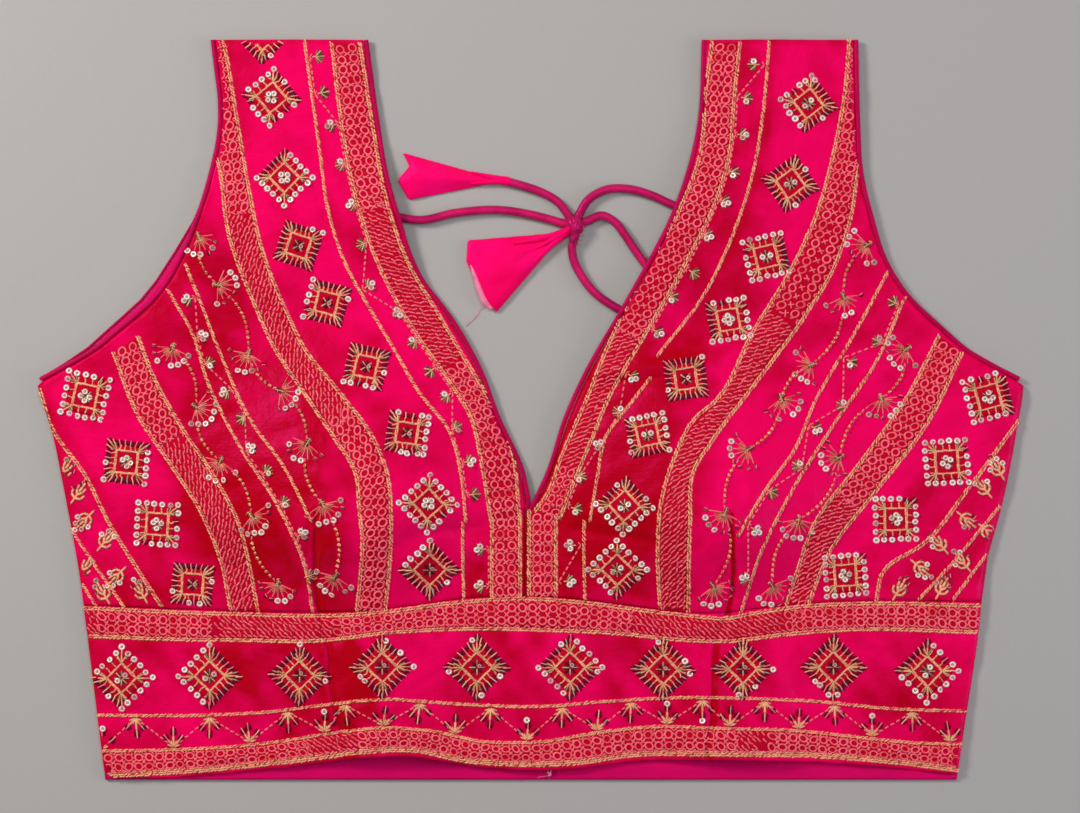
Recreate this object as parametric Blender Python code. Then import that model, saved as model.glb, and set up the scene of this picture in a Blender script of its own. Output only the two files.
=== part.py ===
"""A sleeveless choli blouse with a deep V front and an open back, laid flat with its front up.

Metres, +Z up. +Y points to the shoulders and +X to the right of the blouse as it lies. The
back rests on the surface at Z = 0, the front lies on it, and the tie of the open back lies
between the straps. Tables are in millimetres, and their heights run along +Y.
"""

import math

import bpy
import numpy as np

MM = 0.001

# Cloth and trim, in metres.
BACK_WALL = 1.5 * MM
FRONT_WALL = 1.5 * MM
PLACKET_WALL = 1.0 * MM
SEAM_GAP = 0.3 * MM
FRONT_REST = 2.0 * MM
FRONT_PIPING = 2.0 * MM
BACK_PIPING = 1.4 * MM
PIPING_LIFT = 0.05 * MM
PLACKET_WIDTH = 24 * MM
DORI_DIAMETER = 4.3 * MM
DORI_CENTRE = 2.2 * MM

# Heights where the outline changes, in millimetres.
SHOULDER = 184.5
PIT = 14.5
NECK_POINT = -48.0
WAIST = -98.0
BACK_NECK_LOW = -68.0
BACK_HEM = -185.5

# Armholes of the front, side edge with its piping: height, left, right.
ARMHOLE = (
    (184.5, -160.0, 163.5),
    (141.0, -156.5, 164.5),
    (118.0, -161.0, 166.0),
    (95.0, -168.0, 171.5),
    (77.5, -175.5, 177.0),
    (54.5, -190.5, 191.5),
    (42.0, -205.0, 205.0),
    (29.5, -220.5, 219.5),
    (14.5, -248.0, 247.0),
)

# Armholes of the back, which shows a little past the front on the left: height, left, right.
BACK_ARMHOLE = (
    (184.5, -158.5, 162.0),
    (141.0, -155.0, 163.0),
    (118.0, -160.0, 164.5),
    (95.0, -169.0, 170.0),
    (77.5, -179.5, 175.5),
    (54.5, -196.0, 190.0),
    (42.0, -210.0, 203.5),
    (29.5, -224.0, 218.0),
    (14.5, -248.0, 247.0),
)

# Side seams: height, left, right.
SIDE_SEAM = (
    (14.5, -248.0, 247.0),
    (-4.0, -241.5, 244.0),
    (-48.0, -232.0, 235.5),
    (-81.0, -226.0, 227.0),
    (-115.5, -221.5, 223.5),
    (-151.5, -217.0, 218.0),
    (-185.5, -213.0, 213.0),
)

# Front neck with its piping: height, left, right.
FRONT_NECK = (
    (184.5, -81.5, 85.5),
    (141.0, -75.5, 83.0),
    (118.0, -71.5, 77.5),
    (95.0, -65.0, 69.0),
    (65.5, -54.0, 53.5),
    (47.0, -40.0, 43.0),
    (22.0, -25.5, 28.5),
    (-4.0, -15.5, 16.5),
    (-30.5, -3.5, 8.0),
    (-48.0, 0.0, 0.0),
)

# Back neck above its round bottom: height, left, right.
BACK_NECK = (
    (184.5, -84.0, 88.0),
    (141.0, -82.5, 86.0),
    (95.0, -78.0, 82.0),
    (54.5, -69.0, 72.0),
    (14.5, -58.0, 60.0),
    (-22.0, -50.0, 50.0),
)
BACK_NECK_ARC_TOP = -22.0
BACK_NECK_ARC_HALF = 50.0
BACK_CLOSURE = 9.0

# Lengthwise line of each front, which is its bust dart below the bust: height, left, right.
DART_LINE = (
    (184.5, -121.0, 124.0),
    (95.0, -118.0, 121.0),
    (14.5, -114.0, 112.0),
    (-55.5, -106.5, 98.5),
    (-101.5, -105.5, 97.5),
    (-115.5, -101.5, 92.5),
    (-148.0, -97.5, 90.5),
    (-173.0, -90.5, 87.5),
    (-186.0, -87.0, 86.0),
)
DART_TIP = -50.0
DART_DEPTH = 1.0
DART_HALF_WIDTH = 3.0

# The waist piece from side to side: across, its top seam, its hem.
WAIST_EDGES = (
    (-224.0, -98.0, -185.4),
    (-162.0, -100.5, -183.0),
    (-110.0, -101.5, -177.5),
    (-84.5, -100.5, -174.0),
    (-59.0, -98.0, -173.0),
    (-33.0, -94.5, -178.0),
    (0.0, -93.0, -180.5),
    (24.5, -95.0, -179.5),
    (47.5, -98.0, -176.5),
    (87.0, -102.0, -175.0),
    (125.0, -98.0, -175.5),
    (176.5, -95.5, -179.0),
    (224.0, -96.5, -184.0),
)

# Cups: across and height of the bust point, rise, and reach up, down, inwards and outwards.
CUPS = (
    (-92.0, -42.0, 20.5, 92.0, 60.0, 84.0, 88.0),
    (88.0, -42.0, 20.5, 92.0, 60.0, 84.0, 88.0),
)
CUP_ROUNDNESS = 1.6

# Folds: start across and height, end across and height, half width, rise (a trough is negative).
FOLDS = (
    (-84.0, -66.0, -72.0, -180.0, 27.0, 7.6),  # hem lifted under the left cup
    (92.0, -66.0, 106.0, -182.0, 27.0, 7.2),  # hem lifted under the right cup
    (-83.0, -112.0, -72.0, -142.0, 6.0, 1.6),  # beside the left dart
    (118.0, -108.0, 130.0, -144.0, 6.0, 1.6),  # beside the right dart
    (9.0, -72.0, 9.0, -190.0, 24.0, 2.4),  # over the hook placket
    (-4.0, -56.0, -62.0, -63.0, 4.0, -1.3),  # left centre dart
    (2.0, -56.5, 62.0, -65.0, 4.0, -1.3),  # right centre dart
    (-120.0, 186.0, -112.0, 90.0, 20.0, 2.0),  # left strap
    (124.0, 186.0, 118.0, 60.0, 22.0, 2.2),  # right strap
    (60.0, 104.0, 52.0, 46.0, 26.0, 4.6),  # right neck edge, over the bow
    (-70.0, 110.0, -68.0, 94.0, 18.0, 4.4),  # left neck edge, over its cord
    (-196.0, 2.0, -178.0, -80.0, 16.0, 2.2),  # left side, from the armhole
    (200.0, 2.0, 182.0, -80.0, 16.0, 2.4),  # right side, from the armhole
    (-160.0, 80.0, -186.0, 34.0, 10.0, 1.6),  # left armhole edge
    (33.0, 16.0, 96.0, 24.0, 6.0, 1.2),  # crease from the right neck edge
)

# The tie of the open back, across and height along each cord.
RIGHT_SPAN = (
    (81.6, 99.6),
    (76.5, 100.2),
    (70.0, 102.5),
    (60.0, 107.0),
    (49.0, 110.0),
    (37.0, 109.5),
    (28.5, 104.5),
    (23.9, 97.1),
)
BOW_LOOP = (
    (22.0, 86.8),
    (20.5, 80.5),
    (21.5, 74.0),
    (25.0, 67.0),
    (31.5, 58.5),
    (42.0, 51.0),
    (53.0, 46.0),
    (63.5, 47.0),
    (68.5, 55.0),
    (64.5, 64.0),
    (57.5, 72.0),
    (52.0, 79.5),
    (47.0, 87.0),
    (41.5, 93.8),
    (35.5, 96.8),
    (28.8, 94.3),
)
LEFT_SPAN = (
    (15.6, 93.0),
    (5.0, 96.0),
    (-16.0, 99.5),
    (-38.0, 98.0),
    (-56.0, 94.5),
    (-68.0, 96.5),
    (-77.8, 100.0),
)
UPPER_TAIL = (
    (19.0, 96.5),
    (14.0, 103.0),
    (5.0, 108.5),
    (-4.0, 111.6),
    (-12.2, 113.9),
)
KNOT_CENTRE = (22.5, 92.0)
KNOT_HALF = (6.6, 4.8, 3.4)

# Latkans: outlines of the cloth triangles at the ends of the tie, point first.
LOWER_LATKAN = ((17.4, 88.6), (-32.0, 84.5), (-32.5, 74.0), (-24.0, 54.0), (-17.0, 48.5))
UPPER_LATKAN = ((-12.6, 114.0), (-64.5, 128.5), (-61.0, 121.5), (-67.0, 114.5), (-61.5, 104.5))
LATKAN_WALL = 3.0 * MM
LATKAN_LIFT = 0.1 * MM

LEFT, RIGHT = 1, 2
EDGE_PROBE = 0.5
CENTRE_SEAM = -2.5

PINK_SATIN = (0.83, 0.004, 0.085)
DEEP_PINK = (0.55, 0.004, 0.07)
LINING_PINK = (0.50, 0.003, 0.10)
DORI_MAGENTA = (0.60, 0.010, 0.115)


def clear_scene():
    for obj in list(bpy.data.objects):
        bpy.data.objects.remove(obj, do_unlink=True)


def cloth_material(name, colour, roughness):
    material = bpy.data.materials.new(name)
    material.use_nodes = True
    shader = material.node_tree.nodes["Principled BSDF"]
    shader.inputs["Base Color"].default_value = (*colour, 1.0)
    shader.inputs["Roughness"].default_value = roughness
    shader.inputs["Metallic"].default_value = 0.0
    material.diffuse_color = (*colour, 1.0)
    return material


def through(rows, at):
    """The other columns of a table where its first is `at`, on a smooth curve through its rows."""
    table = np.array(rows, float)
    table = table[np.argsort(table[:, 0])]
    keys, values = table[:, 0], table[:, 1:]
    slopes = np.gradient(values, keys, axis=0)
    row = int(np.clip(np.searchsorted(keys, at) - 1, 0, len(keys) - 2))
    step = keys[row + 1] - keys[row]
    t = float(np.clip((at - keys[row]) / step, 0.0, 1.0))
    start = (2 * t**3 - 3 * t**2 + 1) * values[row] + (t**3 - 2 * t**2 + t) * step * slopes[row]
    end = (3 * t**2 - 2 * t**3) * values[row + 1] + (t**3 - t**2) * step * slopes[row + 1]
    return start + end


def edge(rows, height, side, inset=0.0):
    """Where an edge lies across at a height, moved `inset` mm into the cloth, square to the edge."""
    heights = [row[0] for row in rows]
    low = max(height - EDGE_PROBE, min(heights))
    high = min(height + EDGE_PROBE, max(heights))
    slope = (through(rows, high)[side - 1] - through(rows, low)[side - 1]) / (high - low)
    return through(rows, height)[side - 1] + inset * math.hypot(1.0, slope)


def smooth_step(value):
    value = min(max(value, 0.0), 1.0)
    return value * value * (3 - 2 * value)


def cup_rise(x, y):
    total = 0.0
    for across, height, rise, up, down, inwards, outwards in CUPS:
        towards_centre = (x - across) * across < 0
        reach_x = inwards if towards_centre else outwards
        reach_y = up if y > height else down
        r = math.hypot((x - across) / reach_x, (y - height) / reach_y)
        total += rise * max(0.0, 1 - r * r) ** CUP_ROUNDNESS
    return total


def fold_rise(x, y):
    total = 0.0
    for x0, y0, x1, y1, half_width, rise in FOLDS:
        run = (x1 - x0) ** 2 + (y1 - y0) ** 2
        along = min(max(((x - x0) * (x1 - x0) + (y - y0) * (y1 - y0)) / run, 0.0), 1.0)
        away = math.hypot(x - x0 - along * (x1 - x0), y - y0 - along * (y1 - y0))
        total += rise * math.exp(-((away / half_width) ** 2))
    return total


def dart_rise(x, y):
    """The narrow trough along each bust dart, from its tip under the bust down to the hem."""
    line = through(DART_LINE, y)[(RIGHT if x > 0 else LEFT) - 1]
    below_tip = smooth_step((DART_TIP - y) / 15.0)
    return -DART_DEPTH * below_tip * math.exp(-(((x - line) / DART_HALF_WIDTH) ** 2))


def front_under(x, y):
    """Height of the front's inner face over a point in mm, in metres."""
    lifted = cup_rise(x, y) + fold_rise(x, y) + dart_rise(x, y)
    return FRONT_REST + max(lifted, 0.0) * MM


def wall(name, points, thickness, material):
    """A closed cloth wall: a grid of inner points, by row and column, and the same moved up."""
    rows, columns = len(points), len(points[0])
    inner = [(x * MM, y * MM, z) for row in points for x, y, z in row]
    outer = [(x, y, z + thickness) for x, y, z in inner]
    layer = rows * columns

    def at(row, column):
        return row * columns + column

    faces = []
    for row in range(rows - 1):
        for column in range(columns - 1):
            corners = (at(row, column), at(row, column + 1), at(row + 1, column + 1), at(row + 1, column))
            faces.append(tuple(layer + corner for corner in corners))
            faces.append(corners[::-1])
    rim = [at(0, column) for column in range(columns)]
    rim += [at(row, columns - 1) for row in range(1, rows)]
    rim += [at(rows - 1, column) for column in range(columns - 2, -1, -1)]
    rim += [at(row, 0) for row in range(rows - 2, 0, -1)]
    for start, end in zip(rim, rim[1:] + rim[:1]):
        faces.append((start, end, layer + end, layer + start))
    return add_mesh(name, inner + outer, faces, material)


def slab(name, outline, low, high, material):
    """A flat piece of cloth with an outline in mm, anticlockwise from above."""
    count = len(outline)
    points = [(x * MM, y * MM, low) for x, y in outline] + [(x * MM, y * MM, high) for x, y in outline]
    faces = [tuple(range(count))[::-1], tuple(range(count, 2 * count))]
    for start in range(count):
        end = (start + 1) % count
        faces.append((start, end, count + end, count + start))
    return add_mesh(name, points, faces, material)


def add_mesh(name, points, faces, material):
    mesh = bpy.data.meshes.new(name)
    mesh.from_pydata(points, [], faces)
    mesh.update()
    mesh.shade_smooth()
    mesh.set_sharp_from_angle(angle=math.radians(40))
    mesh.materials.append(material)
    obj = bpy.data.objects.new(name, mesh)
    bpy.context.scene.collection.objects.link(obj)
    return obj


def tube(name, points, diameter, resolution, material):
    """A capped round tube through points in metres."""
    curve = bpy.data.curves.new(name, "CURVE")
    curve.dimensions = "3D"
    curve.bevel_depth = diameter / 2
    curve.bevel_resolution = resolution
    curve.use_fill_caps = True
    spline = curve.splines.new("POLY")
    spline.points.add(len(points) - 1)
    for point, place in zip(spline.points, points):
        point.co = (*place, 1.0)
    curve.materials.append(material)
    obj = bpy.data.objects.new(name, curve)
    bpy.context.scene.collection.objects.link(obj)
    return obj


def smooth_route(places, spacing):
    """Points a spacing apart on a smooth curve through a cord's places, all in mm."""
    places = np.array(places, float)
    run = np.concatenate([[0.0], np.cumsum(np.hypot(*np.diff(places, axis=0).T))])
    rows = np.column_stack([run, places])
    count = max(int(round(run[-1] / spacing)), 4)
    return [through(rows, at) for at in np.linspace(0.0, run[-1], count + 1)]


def stations(outer, middle, inner, outer_cells, inner_cells):
    """Places across a row, with one on the dart line and one close on each side of it."""
    side = 1 if inner > outer else -1
    near = side * DART_HALF_WIDTH
    return np.concatenate([
        np.linspace(outer, middle - near, outer_cells),
        [middle],
        np.linspace(middle + near, inner, inner_cells),
    ])


def front_heights():
    """The rows of an upper front: its waist seam, darts, neck point, armpit, armhole and strap."""
    return np.concatenate([
        np.linspace(WAIST, -72.0, 5),
        np.linspace(-68.0, NECK_POINT - 2.5, 5),
        np.linspace(NECK_POINT, PIT - 3.0, 8),
        np.linspace(PIT, 54.5, 6),
        np.linspace(64.0, SHOULDER, 9),
    ])


def armhole_heights():
    return front_heights()[front_heights() >= PIT]


def build_front(name, side, material):
    """One upper front, from its waist seam to the shoulder, with its cup, darts and folds."""
    gap = SEAM_GAP / MM
    trim = FRONT_PIPING / MM + gap
    outward = -1 if side == LEFT else 1
    points = []
    for height in front_heights():
        if height >= PIT:
            outer = edge(ARMHOLE, height, side, -outward * trim)
        else:
            outer = edge(SIDE_SEAM, height, side)
        if height >= NECK_POINT:
            inner = edge(FRONT_NECK, height, side, outward * trim)
        else:
            inner = CENTRE_SEAM + outward * gap / 2
        middle = through(DART_LINE, height)[side - 1]
        row = []
        for x in stations(outer, middle, inner, 10, 10):
            seam = through(WAIST_EDGES, x)[0] + gap / 2
            y = height + (seam - WAIST) * smooth_step((NECK_POINT - height) / (NECK_POINT - WAIST))
            row.append((x, y, front_under(x, y)))
        points.append(sorted(row))
    return wall(name, points, FRONT_WALL, material)


def build_waist(material):
    """The front's waist piece, one piece from side to side, with a dart under each cup."""
    gap = SEAM_GAP / MM
    rows = 8
    points = []
    for level in range(rows + 1):
        height = BACK_HEM + (WAIST - BACK_HEM) * level / rows
        left = edge(SIDE_SEAM, height, LEFT)
        right = edge(SIDE_SEAM, height, RIGHT)
        left_dart, right_dart = through(DART_LINE, height)
        across = np.concatenate([
            stations(left, left_dart, 0.0, 9, 8),
            stations(right, right_dart, 0.0, 9, 8)[::-1][1:],
        ])
        row = []
        for x in across:
            seam, hem = through(WAIST_EDGES, x)
            y = hem + (seam - gap / 2 - hem) * level / rows
            row.append((x, y, front_under(x, y)))
        points.append(row)
    return wall("front_waist", points, FRONT_WALL, material)


def back_neck_points(side, inset):
    """The back neck from the shoulder to the centre, moved into the cloth by an inset in mm."""
    outward = -1 if side == LEFT else 1
    heights = np.linspace(SHOULDER, BACK_NECK_ARC_TOP + 6, 12)
    points = [(edge(BACK_NECK, height, side, outward * inset), height) for height in heights]
    half = BACK_NECK_ARC_HALF + inset
    depth = BACK_NECK_ARC_TOP - BACK_NECK_LOW + inset
    last = math.asin((BACK_CLOSURE + outward * SEAM_GAP / MM / 2) / half)
    for angle in np.linspace(outward * math.pi / 2, last, 10):
        points.append((half * math.sin(angle), BACK_NECK_ARC_TOP - depth * math.cos(angle)))
    return points


def build_back(name, side, material):
    """One half of the back, flat on the surface, which closes at the centre with hooks."""
    trim = (BACK_PIPING + SEAM_GAP) / MM
    outward = -1 if side == LEFT else 1
    neck = back_neck_points(side, trim)
    hem = [(neck[-1][0], BACK_HEM)]
    seam_heights = np.linspace(BACK_HEM, PIT - 3.0, 8)
    side_seam = [(edge(SIDE_SEAM, height, side), height) for height in seam_heights]
    armhole = [(edge(BACK_ARMHOLE, height, side, -outward * trim), height) for height in armhole_heights()]
    outline = neck + hem + side_seam + armhole
    if side == LEFT:
        outline = outline[::-1]
    return slab(name, outline, 0.0, BACK_WALL, material)


def build_placket(material):
    """The strip behind the centre back that carries the hooks, inside the blouse."""
    left, right = BACK_CLOSURE - PLACKET_WIDTH / MM / 2, BACK_CLOSURE + PLACKET_WIDTH / MM / 2
    low, high = BACK_HEM + 8.0, BACK_NECK_LOW - 4.0
    outline = ((left, low), (right, low), (right, high), (left, high))
    floor = BACK_WALL + SEAM_GAP
    return slab("back_hook_placket", outline, floor, floor + PLACKET_WALL, material)


def build_front_piping(name, rows, side, towards, low, material):
    """A piped edge of the front, `towards` being the way into the cloth."""
    inset = FRONT_PIPING / MM / 2
    points = []
    for height in (low, *front_heights()[front_heights() > low]):
        x = edge(rows, height, side, towards * inset)
        points.append((x * MM, height * MM, front_under(x, height) + FRONT_WALL / 2))
    return tube(name, points, FRONT_PIPING, 1, material)


def build_back_piping(name, places, material):
    centre = BACK_PIPING / 2 + PIPING_LIFT
    points = [(x * MM, y * MM, centre) for x, y in places]
    return tube(name, points, BACK_PIPING, 1, material)


def build_piping(material):
    inset = BACK_PIPING / MM / 2
    for side, word, outward in ((LEFT, "left", -1), (RIGHT, "right", 1)):
        build_front_piping(f"piping_neck_{word}", FRONT_NECK, side, outward, NECK_POINT + 1.6, material)
        build_front_piping(f"piping_armhole_{word}", ARMHOLE, side, -outward, PIT + 0.5, material)
        build_back_piping(f"piping_back_neck_{word}", back_neck_points(side, inset), material)
        armhole = [
            (edge(BACK_ARMHOLE, height, side, -outward * inset), height)
            for height in (PIT + 0.5, *armhole_heights()[1:])
        ]
        build_back_piping(f"piping_back_armhole_{word}", armhole, material)


def build_dori(name, places, material):
    """One stretch of the tie's cord, lying on the surface."""
    points = [(x * MM, y * MM, DORI_CENTRE) for x, y in smooth_route(places, 3.4)]
    return tube(name, points, DORI_DIAMETER, 2, material)


def build_knot(material):
    """The bow's knot, a wrapped lump of cord."""
    rings, sides = 7, 12
    half_x, half_y, half_z = KNOT_HALF
    middle = half_z + DORI_CENTRE / MM - DORI_DIAMETER / MM / 2
    points = [(KNOT_CENTRE[0] * MM, KNOT_CENTRE[1] * MM, (middle - half_z) * MM)]
    for ring in range(1, rings):
        polar = math.pi * ring / rings
        for step in range(sides):
            turn = math.tau * step / sides
            points.append((
                (KNOT_CENTRE[0] + half_x * math.sin(polar) * math.cos(turn)) * MM,
                (KNOT_CENTRE[1] + half_y * math.sin(polar) * math.sin(turn)) * MM,
                (middle - half_z * math.cos(polar)) * MM,
            ))
    points.append((KNOT_CENTRE[0] * MM, KNOT_CENTRE[1] * MM, (middle + half_z) * MM))
    top = len(points) - 1
    faces = [(0, 1 + (step + 1) % sides, 1 + step) for step in range(sides)]
    for ring in range(rings - 2):
        for step in range(sides):
            here, following = 1 + ring * sides + step, 1 + ring * sides + (step + 1) % sides
            faces.append((here, following, following + sides, here + sides))
    last = 1 + (rings - 2) * sides
    faces += [(last + step, last + (step + 1) % sides, top) for step in range(sides)]
    return add_mesh("dori_knot", points, faces, material)


def build_latkan(name, outline, material):
    """A flat cloth triangle at the end of the tie, point first, then round its wide end."""
    turn = sum(x0 * y1 - x1 * y0 for (x0, y0), (x1, y1) in zip(outline, outline[1:] + outline[:1]))
    ordered = outline if turn > 0 else outline[::-1]
    return slab(name, ordered, LATKAN_LIFT, LATKAN_LIFT + LATKAN_WALL, material)


def main():
    clear_scene()
    satin = cloth_material("front_satin", PINK_SATIN, 0.38)
    plain = cloth_material("back_satin", LINING_PINK, 0.5)
    piping = cloth_material("piping_satin", DEEP_PINK, 0.45)
    cord = cloth_material("dori_cord", DORI_MAGENTA, 0.5)
    latkan = cloth_material("latkan_satin", PINK_SATIN, 0.4)
    build_front("front_left", LEFT, satin)
    build_front("front_right", RIGHT, satin)
    build_waist(satin)
    build_back("back_left", LEFT, plain)
    build_back("back_right", RIGHT, plain)
    build_placket(plain)
    build_piping(piping)
    build_dori("dori_right_span", RIGHT_SPAN, cord)
    build_dori("dori_bow_loop", BOW_LOOP, cord)
    build_dori("dori_left_span", LEFT_SPAN, cord)
    build_dori("dori_upper_tail", UPPER_TAIL, cord)
    build_knot(cord)
    build_latkan("latkan_lower", LOWER_LATKAN, latkan)
    build_latkan("latkan_upper", UPPER_LATKAN, latkan)


main()
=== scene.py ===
"""The looks of a sleeveless choli blouse that lies flat: cloth, zari, net work, sequins and its tie.

The frame is in metres, +Z up. Tables here are in millimetres: across (+X) and height (+Y, towards
the shoulders), as the blouse lies. Run it as a script; each piece is made by its own operator.
"""

import math
from functools import cached_property

import bpy
import numpy as np
from bpy.props import FloatProperty, FloatVectorProperty, IntProperty, PointerProperty
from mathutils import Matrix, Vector
from mathutils.bvhtree import BVHTree
from mathutils.kdtree import KDTree


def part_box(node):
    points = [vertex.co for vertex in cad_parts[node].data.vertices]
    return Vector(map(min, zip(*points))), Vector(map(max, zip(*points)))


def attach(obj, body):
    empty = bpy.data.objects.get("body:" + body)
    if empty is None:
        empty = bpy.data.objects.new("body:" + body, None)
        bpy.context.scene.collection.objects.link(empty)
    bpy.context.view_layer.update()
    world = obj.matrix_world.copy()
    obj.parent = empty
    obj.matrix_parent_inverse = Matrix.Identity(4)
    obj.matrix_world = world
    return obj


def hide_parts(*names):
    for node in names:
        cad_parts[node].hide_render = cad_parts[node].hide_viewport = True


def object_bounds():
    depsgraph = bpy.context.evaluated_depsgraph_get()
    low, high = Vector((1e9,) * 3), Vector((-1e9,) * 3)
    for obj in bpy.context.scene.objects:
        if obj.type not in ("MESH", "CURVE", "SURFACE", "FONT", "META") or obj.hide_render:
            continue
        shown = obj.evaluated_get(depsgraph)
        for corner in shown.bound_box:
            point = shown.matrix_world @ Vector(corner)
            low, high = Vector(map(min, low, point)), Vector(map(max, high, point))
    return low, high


bl_info = {
    "name": "Choli blouse",
    "version": (1, 0, 0),
    "blender": (4, 5, 0),
    "location": "3D View > Sidebar > Blouse",
    "description": "Cloth, embroidery and tie of a choli blouse that lies flat",
    "category": "Object",
}

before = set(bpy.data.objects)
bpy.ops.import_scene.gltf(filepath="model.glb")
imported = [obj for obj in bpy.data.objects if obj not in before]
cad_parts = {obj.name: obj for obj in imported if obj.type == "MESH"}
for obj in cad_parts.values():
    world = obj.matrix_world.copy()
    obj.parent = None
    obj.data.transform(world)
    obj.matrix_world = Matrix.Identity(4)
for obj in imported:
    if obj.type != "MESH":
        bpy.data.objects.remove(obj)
CAD_LOW, CAD_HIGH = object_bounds()
MM = 0.001
WAIST_SEAM = -98.0
# Height in mm over which the front's cloth stays, clear of the back under it.
BACK_TOP = 1.7
# Each front panel with the width and length of its flat cloth in metres.
FRONTS = {"front_left": (0.30, 0.285), "front_right": (0.30, 0.285), "front_waist": (0.45, 0.092)}
# Where the camera stands over the blouse, a little off its middle, in metres.
CAMERA_PLACE = (0.0045, 0.00125)


# ---------------------------------------------------------------- lines of the embroidery
# Each line runs from the shoulder, or from the armhole, down to the waist.
LEFT_LINES = {
    "neck_inner": (
        (-85.5, 182.5), (-79, 141), (-73, 108), (-59, 68.5), (-50.5, 54.5), (-35, 28.5), (-21, 4.5),
        (-10.5, -18), (-5.5, -55.5)),
    "neck_outer": (
        (-99.5, 182.5), (-93.5, 135.5), (-88, 108), (-74.5, 68.5), (-67.5, 54.5), (-53.5, 32),
        (-41.5, 15), (-29.5, -5.5), (-24.5, -28), (-20, -55.5)),
    "neck_thin": (
        (-113, 183.5), (-105.5, 129), (-101, 98), (-91.5, 70), (-83, 54.5), (-67.5, 28.5), (-56.5, 9.5),
        (-40, -12.5), (-35, -31.5), (-32.5, -56)),
    "bust_inner": (
        (-153.5, 184), (-150, 164), (-145, 133.5), (-141, 110.5), (-134.5, 80.5), (-122.5, 49.5),
        (-114, 32), (-93.5, 6.5), (-78, -14.5), (-71, -31.5), (-69, -52), (-70, -76.5), (-72.5, -99.5)),
    "bust_outer": (
        (-168.5, 184), (-165.5, 160), (-160, 137), (-155.5, 119.5), (-151, 87.5), (-139, 54.5),
        (-128, 30.5), (-112.5, 8), (-97, -14.5), (-86.5, -31.5), (-84.5, -49), (-83, -66), (-84.5, -83),
        (-86.5, -100)),
    "side_thin": (
        (-172.5, 72), (-165.5, 54.5), (-155.5, 28.5), (-138, -7.5), (-122.5, -28), (-108.5, -54.5)),
    "side_mid": (
        (-181, 59), (-169, 37.5), (-162, 15), (-145, -18), (-124.5, -49), (-112.5, -76.5), (-109, -101)),
    "side_inner": (
        (-196.5, 36.5), (-188, 15), (-174.5, -9), (-159, -31.5), (-145, -57.5), (-140, -80),
        (-136.5, -101)),
    "side_outer": ((-208.5, 28), (-196.5, -2.5), (-179.5, -28), (-164, -52), (-155.5, -73), (-150, -100)),
    "pit_first": (
        (-245.5, 10), (-239.5, -9), (-222.5, -33.5), (-210.5, -57.5), (-196.5, -80), (-184.5, -98.5)),
    "pit_second": ((-230.5, -59), (-219, -76.5), (-203.5, -99)),
    "pit_third": ((-224, -88), (-217.5, -98.5)),
    "middle_outer": ((-34, -57), (-34, -77), (-33.5, -96)),
    "middle_edge": ((-19.5, -54.5), (-19.5, -76), (-19.5, -94.5)),
    "middle_seam": ((-5.5, -53.5), (-5.5, -75), (-5.5, -93.5)),
}
RIGHT_LINES = {
    "neck_inner": (
        (90.5, 183), (87.5, 160), (84.5, 127), (73.5, 98), (56, 68.5), (39, 32.5), (27, 3), (15, -24.5),
        (8.5, -42), (2.5, -50.5)),
    "neck_outer": (
        (104.5, 183), (101.5, 155), (99, 127), (92.5, 104.5), (78.5, 75.5), (58, 39), (37, 1.5),
        (32, -11), (21.5, -36.5), (14.5, -54.5)),
    "neck_thin": ((119, 183.5), (115.5, 145), (111, 118.5), (101, 87.5), (87, 58), (63, 26.5)),
    "neck_thin_low": ((59.5, 15.5), (47.5, 0), (38, -12.5), (33, -34.5), (29.5, -55.5)),
    "bust_inner": (
        (159, 184), (157, 159.5), (151, 127), (144, 101), (130, 70), (111, 39), (90.5, 3), (82, -4),
        (70, -26.5), (64.5, -45.5), (63, -69.5), (64.5, -99.5)),
    "bust_outer": (
        (173.5, 184), (171.5, 160), (167.5, 137), (164, 122), (159.5, 94.5), (151, 70), (135.5, 44.5),
        (114.5, 16.5), (90.5, -14.5), (80, -31.5), (78.5, -55.5), (78.5, -100.5)),
    "side_thin": ((178.5, 68.5), (159.5, 34), (140.5, 1.5), (132, -18), (114.5, -42), (102, -62.5)),
    "side_mid": ((187, 56), (171.5, 22), (151, -7.5), (128.5, -42), (114.5, -69.5), (104.5, -101.5)),
    "side_inner": ((204, 36.5), (187, 4.5), (164.5, -26.5), (140.5, -57.5), (132, -83), (127.5, -97.5)),
    "side_outer": ((215.5, 28), (197.5, -7.5), (173, -40), (149, -71), (139, -96.5)),
    "pit_first": ((244, -5.5), (219.5, -38.5), (197.5, -66), (175, -83), (172.5, -95.5)),
    "pit_second": ((234, -49), (211, -76.5), (194, -95)),
    "pit_third": ((227.5, -73), (211, -95)),
    "middle_outer": ((26.5, -56), (26.5, -76), (27, -95.5)),
    "middle_edge": ((12.5, -53), (12.5, -75), (12.5, -93)),
    "middle_seam": ((-0.8, -50.5), (-0.8, -74), (-0.8, -92.5)),
}
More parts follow.
